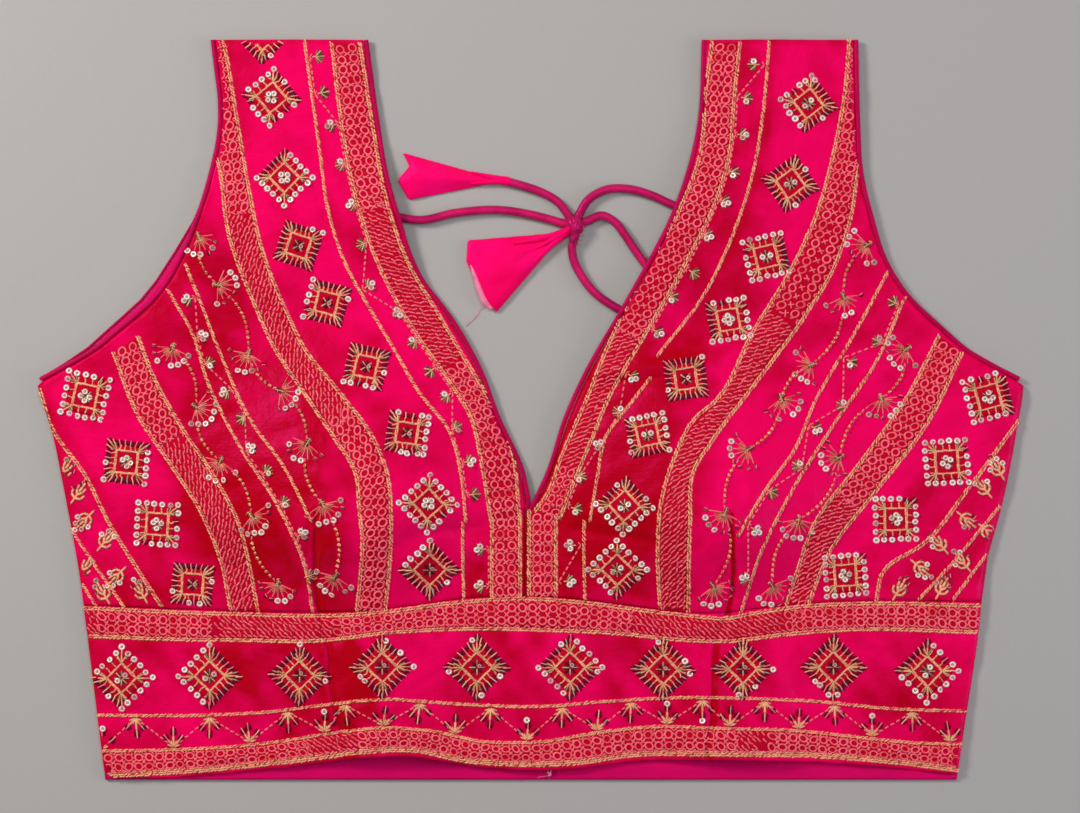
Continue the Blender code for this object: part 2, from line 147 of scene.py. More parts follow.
WAIST_LINES = {
    "band_top": (
        (-223, -99.5), (-179.5, -101.5), (-136.5, -102.8), (-103.5, -103.2), (-71, -100.8),
        (-41.5, -97.2), (3, -94.9), (30.5, -97.2), (56, -100.6), (78.5, -103), (97.5, -104.2),
        (111, -101.8), (135.5, -98.6), (159.5, -97.4), (224.5, -98.2)),
    "band_low": (
        (-221.5, -113.5), (-179.5, -115), (-145, -115.5), (-104, -115.5), (-76, -111.8), (-41.5, -110),
        (3, -110.2), (39, -111.8), (73.5, -115), (97.5, -115.6), (125, -112.6), (159.5, -110.2),
        (222.5, -111.5)),
    "vine_top": (
        (-216.5, -153), (-162, -153), (-128, -151), (-97.5, -147), (-74.5, -144.5), (-41.5, -147),
        (3, -148.5), (39, -146), (87.5, -143.8), (142, -146), (176.5, -149.5), (217.5, -151)),
    "vine_low": (
        (-214, -171), (-171, -170), (-128, -166.5), (-97.5, -161.5), (-74.5, -158.7), (-50.5, -160.5),
        (-24.5, -166), (3, -166.2), (39, -160.8), (68, -158.5), (89, -159), (125, -160), (159.5, -163.5),
        (194, -167), (216, -167.5)),
    "hem": (
        (-213.5, -183.3), (-162, -180), (-110.5, -174.5), (-84.5, -170.7), (-59, -169.7), (-33, -175.3),
        (0, -177.3), (24.5, -176.3), (47.5, -173), (87, -171.7), (125, -172.2), (176.5, -175.7),
        (213.5, -180.2)),
}

# How open the net is along a band: share of its length, then 1 for whole rings, 0 for slanted stitches.
OPEN_NET = ((0, 1), (1, 1))
LEFT_NECK_NET = ((0, 1), (0.25, 1), (0.38, 0.2), (0.62, 0.1), (0.71, 0.8), (1, 0.9))
RIGHT_NECK_NET = ((0, 1), (0.57, 1), (0.64, 0.1), (0.86, 0.1), (0.92, 0.7), (1, 0.8))
LEFT_BUST_NET = ((0, 0.9), (0.25, 0.8), (0.33, 0.2), (0.62, 0.1), (0.7, 0.7), (1, 1))
RIGHT_BUST_NET = ((0, 0.9), (0.43, 1), (0.5, 0.2), (1, 0))
LEFT_SIDE_NET = ((0, 0.9), (0.33, 0.9), (0.42, 0.1), (1, 0))
RIGHT_SIDE_NET = ((0, 0.9), (0.55, 0.9), (0.66, 0.2), (1, 0.2))
WAIST_NET = (
    (0, 0.1), (0.03, 0.9), (0.12, 1), (0.16, 0.2), (0.26, 0.2), (0.3, 1), (0.59, 1), (0.63, 0),
    (0.75, 0.1), (0.82, 0.9), (1, 0.9),
)
HEM_NET = (
    (0, 1), (0.2, 1), (0.25, 0.3), (0.29, 0.3), (0.33, 1), (0.7, 1), (0.75, 0.3), (0.8, 0.9), (1, 0.9),
)
# Bands of net work: inner line, outer line, zones, slant of the stitches from the band in degrees.
LEFT_BANDS = (
    ("neck_inner", "neck_outer", LEFT_NECK_NET, 52), ("bust_inner", "bust_outer", LEFT_BUST_NET, -35),
    ("side_inner", "side_outer", LEFT_SIDE_NET, -30), ("middle_seam", "middle_edge", OPEN_NET, 40),
)
RIGHT_BANDS = (
    ("neck_inner", "neck_outer", RIGHT_NECK_NET, -45), ("bust_inner", "bust_outer", RIGHT_BUST_NET, -42),
    ("side_inner", "side_outer", RIGHT_SIDE_NET, -40), ("middle_seam", "middle_edge", OPEN_NET, -40),
)
WAIST_BANDS = (("band_top", "band_low", WAIST_NET, -42), ("vine_low", "hem", HEM_NET, -42))

# Medallions: across, height, turn in degrees, half width, tone from pale 0 to smoky 1.
LEFT_MEDALLIONS = (
    (-134, 186.5, 44, 10.2, 0.8), (-129.5, 155.5, 40, 10.6, 0.1), (-123, 115.5, 45, 10.2, 0.15),
    (-116, 81.5, -18, 10, 0.8), (-102, 53, -14, 10, 0.9), (-82, 21, -12, 10, 0.6),
    (-61.5, -12, -8, 9.8, 0.6), (-51, -47, 42, 10.4, 0.25), (-50.5, -80, 45, 10.8, 0.7),
    (-222.5, 6.5, -12, 10.8, 0.1), (-202, -26.5, -6, 10.6, 0.15), (-186.5, -57.5, -4, 10.4, 0.1),
    (-169, -87.5, -4, 10, 0.6),
)
RIGHT_MEDALLIONS = (
    (138.5, 152.5, 38, 10.4, 0.3), (129.5, 112.5, 36, 10.4, 0.4), (117.5, 76, 14, 10.2, 0.5),
    (98.5, 44.5, 10, 10, 0.2), (77, 15, 8, 10, 0.7), (58, -13, 12, 9.6, 0.5), (46.5, -48, 42, 10.4, 0.5),
    (43, -80, 45, 10.8, 0.3), (228.5, 6, 14, 10.8, 0.2), (207.5, -26.5, 4, 10.8, 0),
    (182, -55, 2, 10.4, 0), (157, -83, 4, 10.2, 0),
)
WAIST_MEDALLIONS = (
    (-204.5, -134.5, 45, 11.4, 0.3), (-160.5, -133.5, 45, 11.6, 0.5), (-115.5, -133, 44, 11.2, 1),
    (-74, -128.5, 46, 11.4, 1), (-27, -129, 45, 11.8, 1), (19.5, -129, 45, 11.8, 0.8),
    (66, -130, 45, 11.4, 0.9), (105.5, -129.5, 45, 11, 0.8), (151, -129, 45, 11.8, 1),
    (198, -131, 45, 11.6, 0.5),
)

# Fans of stitches: across, height, the way they open in degrees.
LEFT_FANS = (
    (-166, 86, -75), (-156.5, 62, -15), (-141, 27.5, -120), (-124.5, 9, -25), (-110.5, -17, -120),
    (-102.5, -47, -60), (-97, -83, -120), (-179, 30.5, -110), (-167, 1, -30), (-154.5, -26, -120),
    (-138.5, -53, -40), (-126, -87, -110),
)
RIGHT_FANS = (
    (168, 82, -150), (156, 56, -75), (140, 22, -160), (124.5, 5, -60), (107.5, -20, -150),
    (95.5, -51, -110), (90.5, -88, -60), (187.5, 30, -150), (175, 5, -60), (153.5, -24, -150),
    (132.5, -55, -100), (120, -88, -60),
)

# Vines of small flowers that zigzag between two lines: the lines, then each flower's across and height.
LEFT_VINES = (
    ("neck_thin", "neck_outer", (
        (-106, 176), (-103.5, 158), (-100, 141.5), (-95, 122), (-89.5, 102),
        (-84.5, 82), (-80.5, 62), (-66.5, 48), (-59, 33), (-50.5, 18.5), (-42.5, 6),
        (-37, -9), (-30.5, -26), (-28, -42.5))),
    ("middle_outer", "middle_edge", ((-25.5, -70), (-25.5, -88.5))),
    ("side_mid", "side_thin", (
        (-171.5, 54.5), (-164, 36.5), (-160.5, 23), (-152.5, 8), (-144, -5),
        (-139, -19.5), (-130.5, -30.5), (-121.5, -46), (-112.5, -61.5), (-109.5, -82.5))),
)
RIGHT_VINES = (
    ("neck_thin", "neck_outer", (
        (111, 172), (108, 155), (106, 137), (101.5, 118), (97, 103.5), (88.5, 86.5),
        (81.5, 67.5), (71, 55.5), (63.5, 38))),
    ("neck_thin_low", "neck_outer", (
        (51, 16), (43.5, -1), (34, -18), (25, -34), (23, -50))),
    ("middle_outer", "middle_edge", ((19.5, -68), (19.5, -86))),
    ("side_mid", "side_thin", (
        (181, 53.5), (173, 34), (160.5, 23), (155, 2), (142, -10), (132, -28),
        (119.5, -41.5), (111, -60), (106, -84))),
)
# Sprigs with sequins between the side's slanted lines: across, height, the way they point in degrees.
LEFT_SPRIGS = (
    (-233, -31, 60), (-226.5, -42.5, 55), (-222.5, -55, 225), (-213, -66.5, 50), (-206.5, -83, 225),
    (-194.5, -92, 120), (-223.5, -80, 60), (-213.5, -92.5, 120),
)
RIGHT_SPRIGS = (
    (233.5, -30.5, 120), (226.5, -40, 130), (217, -55, -40), (204.5, -68, 130), (194, -79, -40),
    (183.5, -90.5, 60), (228, -61, -40), (216, -77, 130), (205, -90, 60),
)
# Flowers of the vine over the hem: across, and 1 where it stands on the lower line, -1 where it hangs.
HEM_VINE = (
    (-214, 1), (-197.5, -1), (-178.5, 1), (-160.5, -1), (-140.5, 1), (-121.5, -1), (-103, 1),
    (-92.5, -1), (-73.5, 1), (-55.5, -1), (-38, 1), (-20, -1), (-2, 1), (15.5, -1), (33, 1), (50, -1),
    (68, 1), (85.5, -1), (99, 1), (116.5, -1), (133.5, 1), (151.5, -1), (170.5, 1), (190.5, -1),
    (209.5, 1),
)
# Each region: its lines, bands, medallions, fans, vines and sprigs.
LAYOUT = {
    "left": (LEFT_LINES, LEFT_BANDS, LEFT_MEDALLIONS, LEFT_FANS, LEFT_VINES, LEFT_SPRIGS),
    "right": (RIGHT_LINES, RIGHT_BANDS, RIGHT_MEDALLIONS, RIGHT_FANS, RIGHT_VINES, RIGHT_SPRIGS),
    "waist": (WAIST_LINES, WAIST_BANDS, WAIST_MEDALLIONS, (), (), ()),
}
SEEDS = {"left": 11, "right": 23, "waist": 37}
THIN_LINES = ("neck_thin", "neck_thin_low", "side_thin", "side_mid", "pit_second", "pit_third",
              "middle_outer", "vine_top", "vine_low")
# Fans that start a row, so that no chain leads to them.
ROW_STARTS = (0, 7)

# ---------------------------------------------------------------- folds of the cloth
# Start across and height, end across and height, half width, rise (a trough is negative).
CREASES = (
    (-88, -112, -74, -150, 5, 1.3), (-95, -108, -90, -150, 4, -0.9), (116, -110, 129, -150, 5, 1.3),
    (104, -108, 112, -150, 5, -0.8), (-60, -118, -30, -124, 7, 0.7), (-10, -116, 10, -150, 8, 0.6),
    (34, -118, 52, -150, 6, 0.8), (62, -114, 74, -140, 5, -0.7), (-190, -118, -150, -146, 7, 0.7),
    (-146, -118, -132, -150, 6, 0.9), (150, -116, 176, -144, 7, 0.8), (186, -116, 206, -150, 6, 0.6),
    (34, 17.5, 86, 23.5, 3.2, 1.5), (38, 12.5, 80, 17, 3.5, -1.3), (96, 26, 128, 40, 5, 0.8),
    (-66, 36, -40, 14, 6, 0.6), (-150, 20, -128, -24, 6, 0.7), (-178, -14, -158, -58, 6, 0.7),
    (-140, 96, -126, 50, 6, 0.7), (-112, 140, -106, 96, 6, -0.5), (-100, -18, -106, -56, 5, 0.6),
    (100, -24, 106, -58, 5, -0.9), (108, -40, 104, -96, 5, 0.9), (-118, -54, -112, -96, 5, 0.7),
    (152, 60, 138, 22, 6, 0.7), (176, 32, 150, -10, 6, 0.6), (122, 160, 118, 110, 7, 0.6),
    (206, 8, 180, -40, 6, 0.7), (-232, -4, -204, -52, 6, 0.6), (226, -20, 200, -72, 6, 0.6),
    (-44, -58, -66, -88, 6, 0.8), (-24, -60, -50, -60.5, 2.5, -0.7), (22, -60, 58, -65, 2.5, -0.7),
    (44, -62, 62, -92, 6, 0.7), (-160, -66, -152, -96, 5, 0.5), (148, -64, 140, -94, 5, 0.6),
)
# Slow waves of the cloth: length, way in degrees, start in degrees, rise.
WAVES = (
    (41, 20, 10, 0.22), (29, 75, 130, 0.16), (23, 140, 40, 0.12), (17, 105, 250, 0.14),
    (61, 160, 300, 0.25), (13.5, 33, 80, 0.13), (11, 118, 200, 0.1),
)
# Patches of painted sheen and shade on the satin: centre, half sizes, turn in degrees, and the shift to a
# pink painted sheen (+) or a red painted shade (-).
PAINTED_LIGHT_PATCHES = (
    (-152, -22, 15, 74, 14, -0.75), (36, -30, 26, 50, -16, -0.85), (-152, 62, 13, 26, 10, -0.4),
    (-146, -130, 20, 14, 0, -0.55), (-92, -134, 12, 20, 20, -0.4), (88, 84, 20, 44, -24, -0.3),
    (10, -84, 46, 12, 0, -0.35), (176, -142, 24, 12, 0, -0.3), (200, -34, 9, 26, -30, -0.35),
    (118, 30, 8, 30, -28, -0.3), (148, -34, 36, 52, -34, 0.55), (84, -104, 18, 26, 0, 0.4),
    (-66, -70, 15, 30, 8, 0.45), (-120, 150, 22, 50, 0, 0.4), (-96, 50, 12, 34, 22, 0.35),
    (-206, -20, 15, 30, 24, 0.35), (136, 132, 15, 44, -10, 0.4), (-30, -126, 26, 12, 0, 0.25),
    (216, -8, 12, 18, -20, 0.35), (-112, -20, 10, 34, 16, -0.35),
)
BUST_DARTS = (
    ((-106.5, -52), (-105.5, -101.5), (-101.5, -115.5), (-97.5, -148), (-90.5, -173)),
    ((98.5, -52), (97.5, -101.5), (92.5, -115.5), (90.5, -148), (87.5, -173)),
)
CENTRE_SEAM = ((-2.5, -50), (-2.5, -93))
# Where the neck's piped edges tuck in, one on the other, under the point of the neck.
NECK_ENDS = {"left": (-1.9, -50.4), "right": (-0.2, -50.2)}
# The tuft of thread at the back's closure, in places across, height and rise.
CLOSURE_ENDS = (
    ((9.2, -183.6, 1.6), (9.4, -181.8, 2.1), (10.6, -179.9, 1.8)),
    ((9.2, -183.4, 1.6), (8.8, -182, 2.2), (7.2, -181.9, 1.7)),
    ((9, -183.6, 1.6), (8.6, -182, 1.9), (8.4, -180.4, 1.7)),
    ((9.6, -183.4, 1.6), (9.8, -182.4, 2), (9.6, -180.8, 1.7)),
)
CLOSURE_LOOSE = (
    (8.8, -183.4, 1.6), (4, -184.2, 1.6), (1, -185.6, 0.4), (-2.4, -185.4, 0.3), (-5.6, -186.6, 0.3),
)

# ---------------------------------------------------------------- the tie
RIGHT_SPAN = (
    (81.6, 99.6), (76.5, 100.2), (70, 102.5), (60, 107), (49, 110), (37, 109.5), (28.5, 104.5),
    (23.9, 97.1),
)
BOW_LOOP = (
    (22, 86.8), (20.5, 80.5), (21.5, 74), (25, 67), (31.5, 58.5), (42, 51), (53, 46), (63.5, 47),
    (68.5, 55), (64.5, 64), (57.5, 72), (52, 79.5), (47, 87), (41.5, 93.8), (35.5, 96.8), (28.8, 94.3),
)
LEFT_SPAN = ((15.6, 93), (5, 96), (-16, 99.5), (-38, 98), (-56, 94.5), (-68, 96.5), (-77.8, 100))
UPPER_TAIL = ((19, 96.5), (14, 103), (5, 108.5), (-4, 111.6), (-12.2, 113.9))
CORD_HEIGHT = 2.2
KNOT_FRAYS = (
    ((23.2, 86.6), (25, 86), (26.6, 86.9)), ((22.8, 85.4), (24.4, 84.2), (25.6, 84.4)),
    ((22.2, 84.2), (23.6, 82.6), (24, 81.4)), ((21.2, 83.4), (21.9, 81.6), (21.6, 80.2)),
    ((23.4, 88), (25.2, 88.2), (26.2, 89.2)),
)
# The latkans' folds, as the creases are given.
LOWER_FOLDS = (
    (-31, 80, -20, 52, 3.5, 1), (-24, 78, 8, 86, 3, -1.1), (-14, 56, 10, 84, 3, 0.8),
    (-6, 74, 14, 86.5, 1.6, -0.9), (-22, 66, -2, 72, 4, 0.5),
)
UPPER_FOLDS = (
    (-58, 118, -24, 114, 4, 0.7), (-50, 108, -24, 112, 3, -0.7), (-60, 126, -30, 118, 2.4, -0.5),
)
# Tubes of gathered cloth from the cord's end, and the lower latkan's turned edge and loose thread:
# places across, height and rise, then the radius at each place.
LOWER_GATHERS = (
    (((20.5, 90.6, 3.4), (17.6, 89, 2.7), (12, 87.2, 2.5), (2, 84.6, 2.6), (-9, 82.6, 2.4)),
     (1.5, 1.9, 1.5, 1.3, 0.5)),
    (((20.5, 89.8, 3), (17, 87.4, 2.6), (11, 82.6, 2.3), (2, 74, 2.5), (-4, 67, 2.4)),
     (1.4, 1.8, 1.5, 1.2, 0.5)),
    (((20.5, 90.2, 3.2), (17.2, 88.2, 3), (11, 85, 3), (2, 80, 3)), (1.4, 1.7, 1.3, 0.5)),
)
UPPER_GATHERS = (
    (((-10.6, 113.4, 2.4), (-12.4, 114, 2.5), (-16, 115, 2.4), (-30, 118.4, 2.5)),
     (2.25, 2.4, 1.7, 0.5)),
    (((-10.8, 113.5, 2.4), (-12.4, 113.9, 2.5), (-16, 113.9, 2.4), (-30, 112.6, 2.5)),
     (2.2, 2.35, 1.6, 0.5)),
)
LINING_EDGE = (
    (((-30, 72, 2.4), (-28.6, 68, 2.5), (-26.6, 62, 2.6), (-24.6, 56.6, 2.6),
      (-22.6, 52.8, 2.3), (-19.6, 50, 1.9)), (0.5, 1.1, 1.4, 1.6, 1.6, 0.8)),
    (((-23.4, 53, 1.6), (-25.6, 50.4, 0.6), (-27.4, 46.6, 0.3), (-30.8, 43.2, 0.25),
      (-33, 41.4, 0.25)), 0.16),
)


# ---------------------------------------------------------------- sizes and colours
def length_property(name, description, default, least, most):
    return FloatProperty(name=name, description=description, default=default, min=least, max=most,
                         subtype="DISTANCE", unit="LENGTH")


def colour_property(name, description, default):
    return FloatVectorProperty(name=name, description=description, default=default, size=3,
                               subtype="COLOR", min=0.0, max=1.0)


class BlouseCloth(bpy.types.PropertyGroup):
    """Sizes and colours of the cloth"""

    thickness: length_property("Thickness", "Thickness of the front's satin", 0.0009, 0.0004, 0.0014)
    fineness: IntProperty(
        name="Fineness", description="Times that each cell of the front is divided", default=2,
        min=1, max=3)
    pull: length_property("Stitch pull", "How far a sewn line draws the cloth down", 0.0005, 0.0, 0.002)
    # The satin's colour runs from the shade colour (painted shade) to this one (painted sheen), by slope,
    # patches and darts.
    satin: colour_property(
        "Satin", "Colour of the satin where its nap meets the light", (0.87, 0.0006, 0.095))
    satin_shade: colour_property(
        "Satin shade", "Colour of the satin where its nap turns away", (0.46, 0.0003, 0.0015))
    plain: colour_property("Back satin", "Colour of the back's plain satin", (0.70, 0.0030, 0.115))
    piping: colour_property("Piping", "Colour of the piped edges", (0.52, 0.0035, 0.068))


class BlouseNeedlework(bpy.types.PropertyGroup):
    """Sizes and colours of the embroidery"""

    stitch_pitch: length_property(
        "Stitch pitch", "Spacing of the zari stitches along a strand", 0.00105, 0.0005, 0.004)
    sequin: length_property("Sequin", "Diameter of a sequin", 0.0033, 0.001, 0.006)
    gold: colour_property("Zari gold", "Colour of the zari thread", (1.0, 0.50, 0.285))
    coral: colour_property("Coral thread", "Colour of the net's thread", (1.0, 0.185, 0.245))
    # The strips under the net and the medallions are partly stitched ground and partly painted shade.
    ground_and_shade: colour_property(
        "Ground thread", "Colour of the stitched ground under the net", (0.69, 0.0012, 0.032))
    leaf: colour_property("Leaf thread", "Colour of the green gold leaf stitches", (0.66, 0.52, 0.27))


class BlouseTie(bpy.types.PropertyGroup):
    """Sizes and colours of the tie of the open back"""

    diameter: length_property("Cord diameter", "Diameter of the dori", 0.0043, 0.002, 0.008)
    colour: colour_property("Dori", "Colour of the cord", (0.66, 0.014, 0.125))
    latkan: colour_property("Latkan", "Colour of the cloth triangles", (1.0, 0.003, 0.175))


class BlouseStudio(bpy.types.PropertyGroup):
    """Sizes and colours of the stage"""

    camera_height: length_property(
        "Camera height", "Height of the camera over the floor", 1.6, 0.5, 4.0)
    lens: FloatProperty(
        name="Lens", description="Focal length in mm on a 36 mm sensor", default=106.5, min=20.0,
        max=300.0, unit="CAMERA")
    floor: colour_property("Floor", "Colour of the floor", (0.42, 0.42, 0.41))


# ---------------------------------------------------------------- lines and places
def around(x, y, angle, reach):
    """The place a reach away from another, at an angle."""
    return x + math.cos(angle) * reach, y + math.sin(angle) * reach


def run_along(line):
    """The length from a line's start to each of its points."""
    return np.concatenate([[0.0], np.cumsum(np.hypot(*np.diff(line, axis=0).T))])


def smooth_line(places, spacing=1.0):
    """Points a spacing apart on a smooth curve through a line's places, in mm."""
    places = np.array(places, float)
    run = run_along(places)
    slopes = np.gradient(places, run, axis=0)
    at = np.linspace(0.0, run[-1], max(int(run[-1] * 4), 8))
    row = np.clip(np.searchsorted(run, at) - 1, 0, len(run) - 2)
    step = (run[row + 1] - run[row])[:, None]
    t = (at - run[row])[:, None] / step
    fine = (2 * t**3 - 3 * t**2 + 1) * places[row] + (t**3 - 2 * t**2 + t) * step * slopes[row]
    fine += (3 * t**2 - 2 * t**3) * places[row + 1] + (t**3 - t**2) * step * slopes[row + 1]
    along = run_along(fine)
    count = max(int(round(along[-1] / spacing)), 2)
    even = np.linspace(0.0, along[-1], count + 1)
    return np.column_stack([np.interp(even, along, fine[:, axis]) for axis in (0, 1)])


def resampled(places, count):
    """A line's points, as many as asked for, evenly spaced."""
    line = smooth_line(places, 0.5)
    even = np.linspace(0, len(line) - 1, count)
    return np.column_stack([np.interp(even, np.arange(len(line)), line[:, axis]) for axis in (0, 1)])


def directions(line):
    """The angle along a line at each of its points."""
    step = np.gradient(line, axis=0)
    return np.arctan2(step[:, 1], step[:, 0])


def distances(points, places):
    """How far each point lies from the nearest of some places, in the same unit."""
    tree = KDTree(len(places))
    for index, (x, y) in enumerate(places):
        tree.insert((x, y, 0.0), index)
    tree.balance()
    return np.array([tree.find((x, y, 0.0))[2] for x, y in points])


def bell(away, width):
    """1 at no distance, falling smoothly to 0 past the width."""
    return np.exp(-((away / width) ** 2))


def dimmed(colour, share):
    return tuple(share * part for part in colour)


# ---------------------------------------------------------------- objects and meshes
def select(*objects):
    """Selects these objects alone, the first as the active one."""
    bpy.ops.object.select_all(action="DESELECT")
    for obj in objects:
        obj.select_set(True)
    if objects:
        bpy.context.view_layer.objects.active = objects[0]


def linked(name, data):
    """A new object of the scene."""
    obj = bpy.data.objects.new(name, data)
    bpy.context.scene.collection.objects.link(obj)
    return obj


def mesh_points(mesh):
    points = np.empty(len(mesh.vertices) * 3, np.float32)
    mesh.vertices.foreach_get("co", points)
    return points.reshape(-1, 3).astype(float)


def move_points(mesh, points):
    mesh.vertices.foreach_set("co", points.astype(np.float32).ravel())
    mesh.update()


def apply_modifier(obj, kind, **settings):
    select(obj)
    modifier = obj.modifiers.new(kind.title(), kind)
    for name, value in settings.items():
        setattr(modifier, name, value)
    bpy.ops.object.modifier_apply(modifier=modifier.name)


def joined(*objects):
    """One object of several meshes, under the first one's name."""
    select(*objects)
    bpy.ops.object.join()
    return objects[0]


def dressed(mesh, material):
    """A mesh with one material alone."""
    mesh.materials.clear()
    mesh.materials.append(material)
    return mesh


def finish_piece(obj, material, replaced=None):
    """Gives a made piece its material and slot, lets it ride on the body, and hides the solid it replaces."""
    dressed(obj.data, material).shade_smooth()
    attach(obj, "root")
    if replaced:
        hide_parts(replaced)
    return obj


def mesh_from_arrays(name, points, loops, sizes):
    """A mesh from flat arrays: points, the corners of each face in turn, and each face's size."""
    mesh = bpy.data.meshes.new(name)
    mesh.vertices.add(len(points))
    mesh.vertices.foreach_set("co", np.asarray(points, np.float32).ravel())
    mesh.loops.add(len(loops))
    mesh.loops.foreach_set("vertex_index", np.asarray(loops, np.int32))
    mesh.polygons.add(len(sizes))
    starts = np.concatenate([[0], np.cumsum(sizes)[:-1]]).astype(np.int32)
    mesh.polygons.foreach_set("loop_start", starts)
    mesh.update(calc_edges=True)
    return mesh


def new_curve(name, depth, resolution):
    """A round curve for tubes, with closed ends."""
    curve = bpy.data.curves.new(name, "CURVE")
    curve.dimensions = "3D"
    curve.bevel_depth = depth
    curve.bevel_resolution = resolution
    curve.use_fill_caps = True
    return curve


def add_spline(curve, places):
    """Adds an open run of straight pieces through places in mm."""
    spline = curve.splines.new("POLY")
    spline.points.add(len(places) - 1)
    spline.points.foreach_set("co", np.column_stack([np.array(places) * MM, np.ones(len(places))]).ravel())
    return spline


def tubes(name, runs, resolution=2):
    """A mesh of round tubes, each along places in mm, with a radius in mm at each place."""
    curve = new_curve(name, MM, resolution)
    for places, radii in runs:
        spline = add_spline(curve, places)
        spline.points.foreach_set("radius", np.broadcast_to(radii, len(places)).astype(np.float32))
    select(linked(name, curve))
    bpy.ops.object.convert(target="MESH")
    return bpy.context.object


# ---------------------------------------------------------------- small forms
def flat_form(operator, **sizes):
    """Points and faces of a small form that an operator adds, which is then taken away."""
    select()
    operator(**sizes)
    obj = bpy.context.object
    mesh = obj.data
    points = np.array([obj.matrix_basis @ vertex.co for vertex in mesh.vertices])
    faces = [tuple(face.vertices) for face in mesh.polygons]
    bpy.data.objects.remove(obj, do_unlink=True)
    bpy.data.meshes.remove(mesh)
    return points, faces


def stitch_form():
    """A thread's stitch, 1 long, wide and high, with tapered ends."""
    body = 0.7
    points, faces = flat_form(
        bpy.ops.mesh.primitive_cylinder_add, vertices=4, radius=0.5, depth=body, end_fill_type="TRIFAN",
        rotation=(0.0, math.radians(90), 0.0))
    middles = np.hypot(points[:, 1], points[:, 2]) < 0.1
    points[middles, 0] /= body
    return points, faces


def torus_form(major, minor, flat=1.0):
    """A ring of 12 by 4 faces, lowered to a share of its height."""
    points, faces = flat_form(
        bpy.ops.mesh.primitive_torus_add, major_segments=12, minor_segments=4, major_radius=major,
        minor_radius=minor)
    points[:, 2] *= flat
    return points, faces


def bead_form():
    return flat_form(bpy.ops.mesh.primitive_ico_sphere_add, subdivisions=1, radius=0.5)


# ---------------------------------------------------------------- the finished cloth's heights
def neighbours(grid, past_edge):
    """The four neighbours of each cell of a grid."""
    padded = np.pad(grid, 1, constant_values=past_edge)
    return padded[:-2, 1:-1], padded[2:, 1:-1], padded[1:-1, :-2], padded[1:-1, 2:]


def grown(mask, steps):
    """A mask grown by some cells on each side."""
    for _ in range(steps):
        mask = np.logical_or.reduce((mask, *neighbours(mask, False)))
    return mask


class Surface:
    """Heights of the finished front over the floor, on a grid of 1 mm, in mm."""

    # Cells round the solids, the height in metres that rays start from, cells filled past the edges,
    # and the height of what is still empty.
    margin, ray_start, cells_past_edge, elsewhere = 3, 0.1, 10, 3.0
    # Cells on each side over which a slit is closed, and how many margins covers can be asked for.
    slit_reach, margins = 2, 4

    def __init__(self, pieces):
        self.x0, self.y0 = (math.floor(low / MM) - self.margin for low in CAD_LOW[:2])
        columns, rows = (math.ceil(high / MM) + self.margin + 1 for high in CAD_HIGH[:2])
        self.heights = np.full((rows - self.y0, columns - self.x0), np.nan)
        trees = [BVHTree.FromObject(obj, bpy.context.evaluated_depsgraph_get()) for obj in pieces]
        down = Vector((0.0, 0.0, -1.0))
        for row, column in np.ndindex(self.heights.shape):
            start = Vector(((self.x0 + column) * MM, (self.y0 + row) * MM, self.ray_start))
            hits = (tree.ray_cast(start, down)[0] for tree in trees)
            hit = next((hit for hit in hits if hit is not None), None)
            if hit is not None:
                self.heights[row, column] = hit.z / MM
        closed = grown(~np.isnan(self.heights), self.slit_reach)
        without_slits = ~grown(~closed, self.slit_reach)
        self.cover = [~grown(~without_slits, steps) for steps in range(self.margins)]
        self.fill_edges()
        self.slope_y, self.slope_x = np.gradient(self.heights)

    def fill_edges(self):
        """Carries the heights a little past the cloth's edges."""
        for _ in range(self.cells_past_edge):
            beside = np.stack(neighbours(self.heights, np.nan))
            count = (~np.isnan(beside)).sum(axis=0)
            empty = np.isnan(self.heights) & (count > 0)
            self.heights[empty] = np.nansum(beside, axis=0)[empty] / count[empty]
        self.heights = np.nan_to_num(self.heights, nan=self.elsewhere)

    def sample(self, grid, x, y):
        """A grid's value between its cells."""
        column = np.clip(np.asarray(x, float) - self.x0, 0, grid.shape[1] - 1.001)
        row = np.clip(np.asarray(y, float) - self.y0, 0, grid.shape[0] - 1.001)
        c, r = column.astype(int), row.astype(int)
        u, v = column - c, row - r
        return ((1 - u) * (1 - v) * grid[r, c] + u * (1 - v) * grid[r, c + 1]
                + (1 - u) * v * grid[r + 1, c] + u * v * grid[r + 1, c + 1])

    def at(self, x, y):
        return self.sample(self.heights, x, y)

    def slopes(self, x, y):
        return self.sample(self.slope_x, x, y), self.sample(self.slope_y, x, y)

    def covers(self, x, y, margin):
        """Whether the cloth reaches a margin in whole mm past these places."""
        rows, columns = self.heights.shape
        column = np.clip(np.rint(np.asarray(x, float) - self.x0).astype(int), 0, columns - 1)
        row = np.clip(np.rint(np.asarray(y, float) - self.y0).astype(int), 0, rows - 1)
        return self.cover[margin][row, column]


MADE = {}


